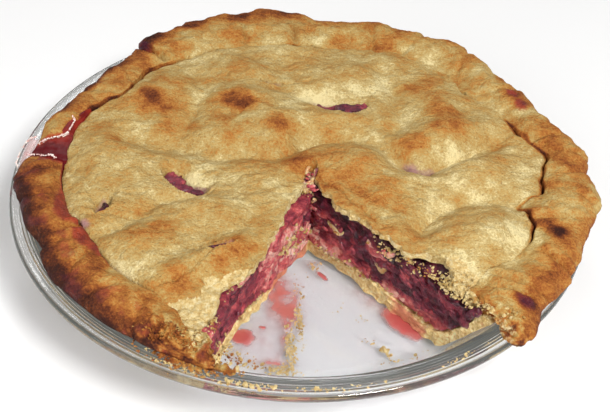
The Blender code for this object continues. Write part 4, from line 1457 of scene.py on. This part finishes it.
def thin_juice():
    """Juice thin enough to see the glass through, paler towards its edge."""
    material, place, shader = new_material("thin_juice", Coat_Weight=0.5, Coat_Roughness=0.05,
                                           Specular_IOR_Level=0.4)
    depth = painted(place, "depth")
    cloud = place.mottle(4 * MM, 4, 0.6) * 0.6
    colour = (depth + cloud).ramp((0.2, 214, 128, 122), (0.9, 192, 82, 78))
    feed(shader, Base_Color=colour, Alpha=(depth + cloud * 0.6).between(-0.3, 0.9) * 0.85,
         Roughness=0.12 + place.speckle(3 * MM) * 0.1)
    return material


drops = make_piece("juice_puddles", puddles(), thin_juice(), (), 80)
paint(drops, lambda x, y, z, normal: (ease((z - DISH_FLOOR) / 0.5),), ("depth",))


def smear_finish():
    """A film too thin to see as a layer: pink juice on the glass, grey-lilac painted shade where
    faint.
    """
    material, place, shader = new_material("juice_film", Roughness=0.25)
    strength = painted(place, "strength")
    cloud = place.speckle(3 * MM, 4, 0.7)
    colour = (strength + (cloud - 0.5) * 0.9).ramp(
        (0.1, 196, 172, 186), (0.45, 214, 140, 138), (0.8, 206, 104, 92))
    feed(shader, Base_Color=colour,
         Alpha=(strength + (cloud - 0.5) * strength * 1.6).between(-0.1, 1.1) * 0.8)
    return material


def smear_sheet():
    """A flat film just over the floor, cut off where the wall begins."""
    bm = floor_grid(110, 80, (6, -50, DISH_FLOOR + 0.06))
    outside = [v for v in bm.verts if v.co.xy.length > 80]
    bmesh.ops.delete(bm, geom=outside, context='VERTS')
    return bm


# centre x and y, length, width, turn and strength of each smear
SMEARS = (
    (-8, -32, 14, 7, -60, 0.85), (-4, -47, 10, 6, -60, 0.75), (-12, -62, 22, 13, 70, 0.24),
    (-2, -58, 22, 1.6, 80, 0.4), (8, -18, 6, 5, 0, 0.3), (34, -42, 20, 4, -44, 0.35),
    (-6, -76, 9, 2.4, 0, 0.5),
)


def smear_strength(x, y, z, normal):
    """How strong the film is: a faint painted shade everywhere, and smears fading out towards the
    wall.
    """
    inside = ease((80 - math.hypot(x, y)) / 4)
    # the 0.05 everywhere lays a faint grey-lilac veil over the floor: painted shade in the open
    # wedge
    return (0.05 + patches(x, y, SMEARS) * inside * (0.9 + 0.5 * lumps(x, y, 0, 4)),)


film = make_piece("juice_smears", smear_sheet(), smear_finish(), (), 80)
paint(film, smear_strength, ("strength",))


def flange_film():
    """The clear film of juice inside the ring of white beads, on the flange beside the leak."""
    bm = bmesh.new()
    bmesh.ops.create_grid(bm, x_segments=40, y_segments=16, size=1)
    for vert in bm.verts:
        x, y = on_circle(176.5 + 6 * vert.co.x, 115.6 + 3.6 * vert.co.y)
        vert.co = (x, y, FLANGE_HEIGHT)
    return bm


def flange_strength(x, y, z, normal):
    """How strong the film on the flange is, fading out at its edges."""
    return (0.5 * ease((119 - math.hypot(x, y)) / 1.5) * between(bearing(x, y), 171, 1.4,
                                                                182, 1.4),)


thin_film = make_piece("juice_on_flange", flange_film(), smear_finish(), (), 80)
paint(thin_film, flange_strength, ("strength",))

# ---- crumbs ----
# Bits of crust that broke off along the cuts.  They lie on the floor of the dish, on its
# flange and on the broken ends of the rim, pale where they come from inside the crust.


def crumb(bm, spot, size, pick):
    """Adds one angular crumb of this size."""
    detail = 2 if size > 1.5 else 1
    made = bmesh.ops.create_icosphere(bm, subdivisions=detail, radius=size / 2)["verts"]
    seed = pick.uniform(0, 50)
    for vert in made:
        vert.co *= 1 + 0.75 * lumps(*vert.co, size * 0.7, seed)
    shape = Matrix.Diagonal((pick.uniform(0.7, 1.7), pick.uniform(0.6, 1.2),
                             pick.uniform(0.4, 1.0), 1))
    turn = Matrix.Rotation(pick.uniform(0, math.tau), 4, 'Z') @ Matrix.Rotation(
        pick.uniform(-0.8, 0.8), 4, 'X')
    bmesh.ops.transform(bm, matrix=Matrix.Translation(spot) @ turn @ shape, verts=made)


def rim_top(x, y):
    """Height of the rim's surface near the left cut, and of the flange beyond it."""
    side, ahead, away, into_pie = from_cut(x, y)
    if (Vector((x, y)) - APEX).dot(into_pie) < 0 or math.hypot(x, y) > 112.5:
        return FLANGE_HEIGHT if math.hypot(x, y) > 110 else 33.0
    return min(rim_height(bearing(x, y), math.hypot(x, y)), worn_height(away))


BATCH = 40    # crumbs are made this many at a time, which is quicker


def strewn(rows, seed):
    """Crumbs over patches: x, y, length, width, turn, floor height, heap, count, size.

    Without a floor height they lie on the rim."""
    whole = bmesh.new()
    pick = random.Random(seed)
    for x, y, length, width, turn, floor, heap, count, size in rows:
        a = math.radians(turn)
        for made in range(0, count, BATCH):
            few = bmesh.new()
            for _ in range(min(BATCH, count - made)):
                u, v = pick.gauss(0, 0.5), pick.gauss(0, 0.5)
                big = size * (0.35 + 1.1 * pick.random() ** 3)
                px = x + length * u * math.cos(a) - width * v * math.sin(a)
                py = y + length * u * math.sin(a) + width * v * math.cos(a)
                lift = heap * max(0.0, 1 - math.hypot(u, v)) * pick.uniform(0.6, 1.0)
                under = rim_top(px, py) if floor is None else floor
                crumb(few, Vector((px, py, under + lift + big * 0.25)), big, pick)
            part = bpy.data.meshes.new("few_crumbs")
            few.to_mesh(part)
            few.free()
            whole.from_mesh(part)
            bpy.data.meshes.remove(part)
    bmesh.ops.recalc_face_normals(whole, faces=whole.faces[:])
    return whole


def stuck(bm, rows, seed):
    """Adds crumbs pressed into the cut faces: side, ahead, height, spreads, out, count, size."""
    pick = random.Random(seed)
    for side, ahead, z, wide, tall, out, count, size in rows:
        for _ in range(count):
            spot = face_spot(side, ahead + wide * pick.gauss(0, 0.5),
                             z + tall * pick.gauss(0, 0.5), out + pick.uniform(-0.4, 0.4))
            crumb(bm, spot, size * (0.5 + 0.9 * pick.random() ** 2), pick)
    bmesh.ops.recalc_face_normals(bm, faces=bm.faces[:])
    return bm


def place_crumbs(name, bm, finish, painter):
    """Makes a piece of crumbs and paints how toasted, stained and torn they are."""
    piece = make_piece(name, bm, finish, (), 30)
    paint(piece, painter, CRUST_LAYERS)


ON_FLOOR = (
    (3, -52, 13, 1.4, 97, 5, 0.4, 200, 0.9), (0, -68, 12, 2.4, 95, 5, 0.6, 280, 1.0),
    (-3, -80, 6, 2.6, 0, 5.4, 1.0, 110, 1.2), (2, -34, 10, 2.5, 97, 5, 0.5, 22, 1.1),
    (8, -21, 5, 4, 0, 5, 1.0, 20, 1.2), (30, -62, 3, 2, 0, 5, 0, 8, 1.2),
    (27, -49, 3, 2, 0, 5, 0, 7, 1.2), (43, -71, 12, 3, 20, 5.2, 0, 24, 1.1),
    (36, -66, 4, 1.5, -30, 5, 0, 14, 1.5), (-12, -79, 10, 2, -8, 5.4, 0.5, 30, 1.1),
    (14, -46, 14, 12, 0, 5, 0, 12, 0.7), (-20, -74, 8, 4, 0, 6, 1.5, 24, 1.3),
)
place_crumbs(
    "crumbs_on_floor", strewn(ON_FLOOR, 11),
    baked_crust("crumb_floor", (206, 128, 96), (168, 84, 78)),
    lambda x, y, z, normal: (0.14 + 0.4 * lumps(x, y, z, 3.5),
                             0.3 * lumps(x, y, z, 7) + (0.35 if x < 12 and y > -45 else 0.0),
                             ease(0.5 + lumps(x, y, z, 4, 3))))

ON_RIM = (
    (-47, -99, 9, 5, -28, None, 0.1, 140, 1.1), (-41, -102, 9, 7, -24, None, 0.1, 300, 1.2),
    (-32, -105, 10, 5, -17, None, 0.1, 300, 1.2), (-23, -108, 7, 4, -12, None, 0.2, 130, 1.3),
    (-38, -107, 16, 2.4, -22, None, 0.4, 150, 1.3), (-20, -104, 10, 3, -10, 37, 0.5, 50, 1.1),
)
place_crumbs(
    "crumbs_on_rim", strewn(ON_RIM, 23),
    baked_crust("crumb_rim", (166, 66, 44), (104, 34, 40)),
    lambda x, y, z, normal: (0.52 + 0.4 * lumps(x, y, z, 3.5), 0.0,
                             ease(lumps(x, y, z, 4, 3) * 2.2 - 0.7)))

ON_CUT_EDGES = (
    (61, -64.5, 8, 3.4, -46.5, 40, 3.8, 260, 1.1), (66.5, -71, 7, 3, -46.5, 40.5, 3.8, 240, 1.1),
    (72.5, -77.6, 5, 2.4, -46.5, 43, 2, 70, 1.0), (43, -51, 9, 1.4, -46, 41, 2, 30, 1.0),
    (80, -82, 5, 5, 0, 45, 0.6, 24, 1.1), (63, -63, 9, 5, -50, 43.4, 0.8, 60, 0.9),
    (-28, -93, 6, 2.4, 68, 42.5, 1.5, 30, 1.2), (-33, -100.5, 6, 3, -20, None, 0.8, 110, 1.4),
    (-23, -99, 5, 3, 68, 35, 4, 50, 1.2), (3, -15, 3, 2, 80, 42.5, 1.5, 40, 1.3),
)
ON_CUT_FACES = (
    ("right", 50, 38, 12, 3, 0.6, 60, 1.2), ("right", 76, 41.5, 12, 2.2, 0.5, 120, 1.0),
    ("right", 17, 30, 4, 2, 0.4, 8, 1.4), ("right", 30, 13, 26, 2.5, 0.6, 110, 1.1),
    ("left", 20, 28, 9, 5, 0.4, 70, 1.3), ("left", 12, 20, 8, 6, 0.2, 30, 1.1),
    ("left", 50, 13.5, 14, 2, 0.5, 50, 1.1), ("left", 80, 22, 6, 5, 0.3, 14, 1.2),
    ("left", 95, 38, 4, 4, 0.6, 50, 1.3), ("left", 62, 41, 12, 2, 0.3, 40, 1.2),
)
place_crumbs(
    "crumbs_on_cuts", stuck(strewn(ON_CUT_EDGES, 37), ON_CUT_FACES, 19),
    baked_crust("crumb_cut", (196, 128, 116), (156, 84, 88)),
    lambda x, y, z, normal: (0.3 + 0.3 * lumps(x, y, z, 3.5), 0.5 * lumps(x, y, z, 5),
                             0.6 + lumps(x, y, z, 3)))

ON_FLANGE = (
    (-14, -115, 9, 1.4, -6, 36.9, 0.3, 70, 1.2), (12, -115.5, 10, 1, 4, 36.9, 0.2, 60, 0.9),
    (28, -112, 8, 1.2, 12, 36.9, 0.2, 14, 0.9), (60, -98, 14, 1.2, 33, 36.9, 0.2, 20, 0.9),
    (-40, -108, 16, 1.4, -20, 36.9, 0.3, 70, 1.2), (4, -104, 14, 3, 0, 29, 0, 14, 0.9),
)
place_crumbs(
    "crumbs_on_flange", strewn(ON_FLANGE, 41),
    baked_crust("crumb_flange", (206, 128, 96), (168, 84, 78)),
    lambda x, y, z, normal: (0.1 + 0.3 * lumps(x, y, z, 3.5), 0.0, 0.7))

# ---- camera, floor and light ----
# The camera looks down on the open wedge.  The pie stands on a plain white table under soft
# studio lamps, the strongest from the right.

STANDPOINT = (0.0028, -0.3909, 0.3577)    # in metres
camera_data = bpy.data.cameras.new("camera")
camera_data.sensor_width = 36
camera_data.lens = 70.8
camera = bpy.data.objects.new("camera", camera_data)
bpy.context.scene.collection.objects.link(camera)
# which way the view's right and upper edges face; it leans a little to the left
right = Vector((0.99866, 0.0336, 0.0391))
up = Vector((-0.0515, 0.651, 0.7573)).normalized()
right = (right - up * right.dot(up)).normalized()
back = right.cross(up)
camera.matrix_world = Matrix((right, up, back)).transposed().to_4x4()
camera.matrix_world.translation = STANDPOINT
bpy.context.scene.camera = camera

table = bmesh.new()    # in metres, 6 m square and 0.4 mm under the dish
bmesh.ops.create_grid(table, x_segments=2, y_segments=2, size=3)
bmesh.ops.translate(table, vec=(0, 0, -0.0004), verts=table.verts[:])
table_mesh = bpy.data.meshes.new("table")
table.to_mesh(table_mesh)
table.free()
table_top = bpy.data.objects.new("table", table_mesh)
bpy.context.scene.collection.objects.link(table_top)
white = new_material("white_table", Base_Color=(0.9, 0.9, 0.9, 1), Roughness=0.6)[0]
table_mesh.materials.append(white)


def lamp(name, size, power, stand, aim=(0, 0, 0.03)):
    """A round soft lamp, turned towards the pie."""
    data = bpy.data.lights.new(name, 'AREA')
    data.shape, data.size, data.energy = 'DISK', size, power
    body = bpy.data.objects.new(name, data)
    body.location = stand
    body.rotation_euler = (Vector(aim) - Vector(stand)).to_track_quat('-Z', 'Y').to_euler()
    bpy.context.scene.collection.objects.link(body)


lamp("key", 0.36, 14.4, (0.42, -0.66, 0.95))
lamp("window", 0.3, 1.8, (-0.25, 0.95, 0.8))
lamp("fill", 1.2, 6.4, (-0.62, -0.8, 0.5))
world = bpy.data.worlds.new("studio")
world.use_nodes = True
glow = world.node_tree.nodes["Background"].inputs
glow["Color"].default_value = (1, 0.985, 0.965, 1)
glow["Strength"].default_value = 0.33
bpy.context.scene.world = world
bpy.context.scene.view_settings.view_transform = 'Standard'
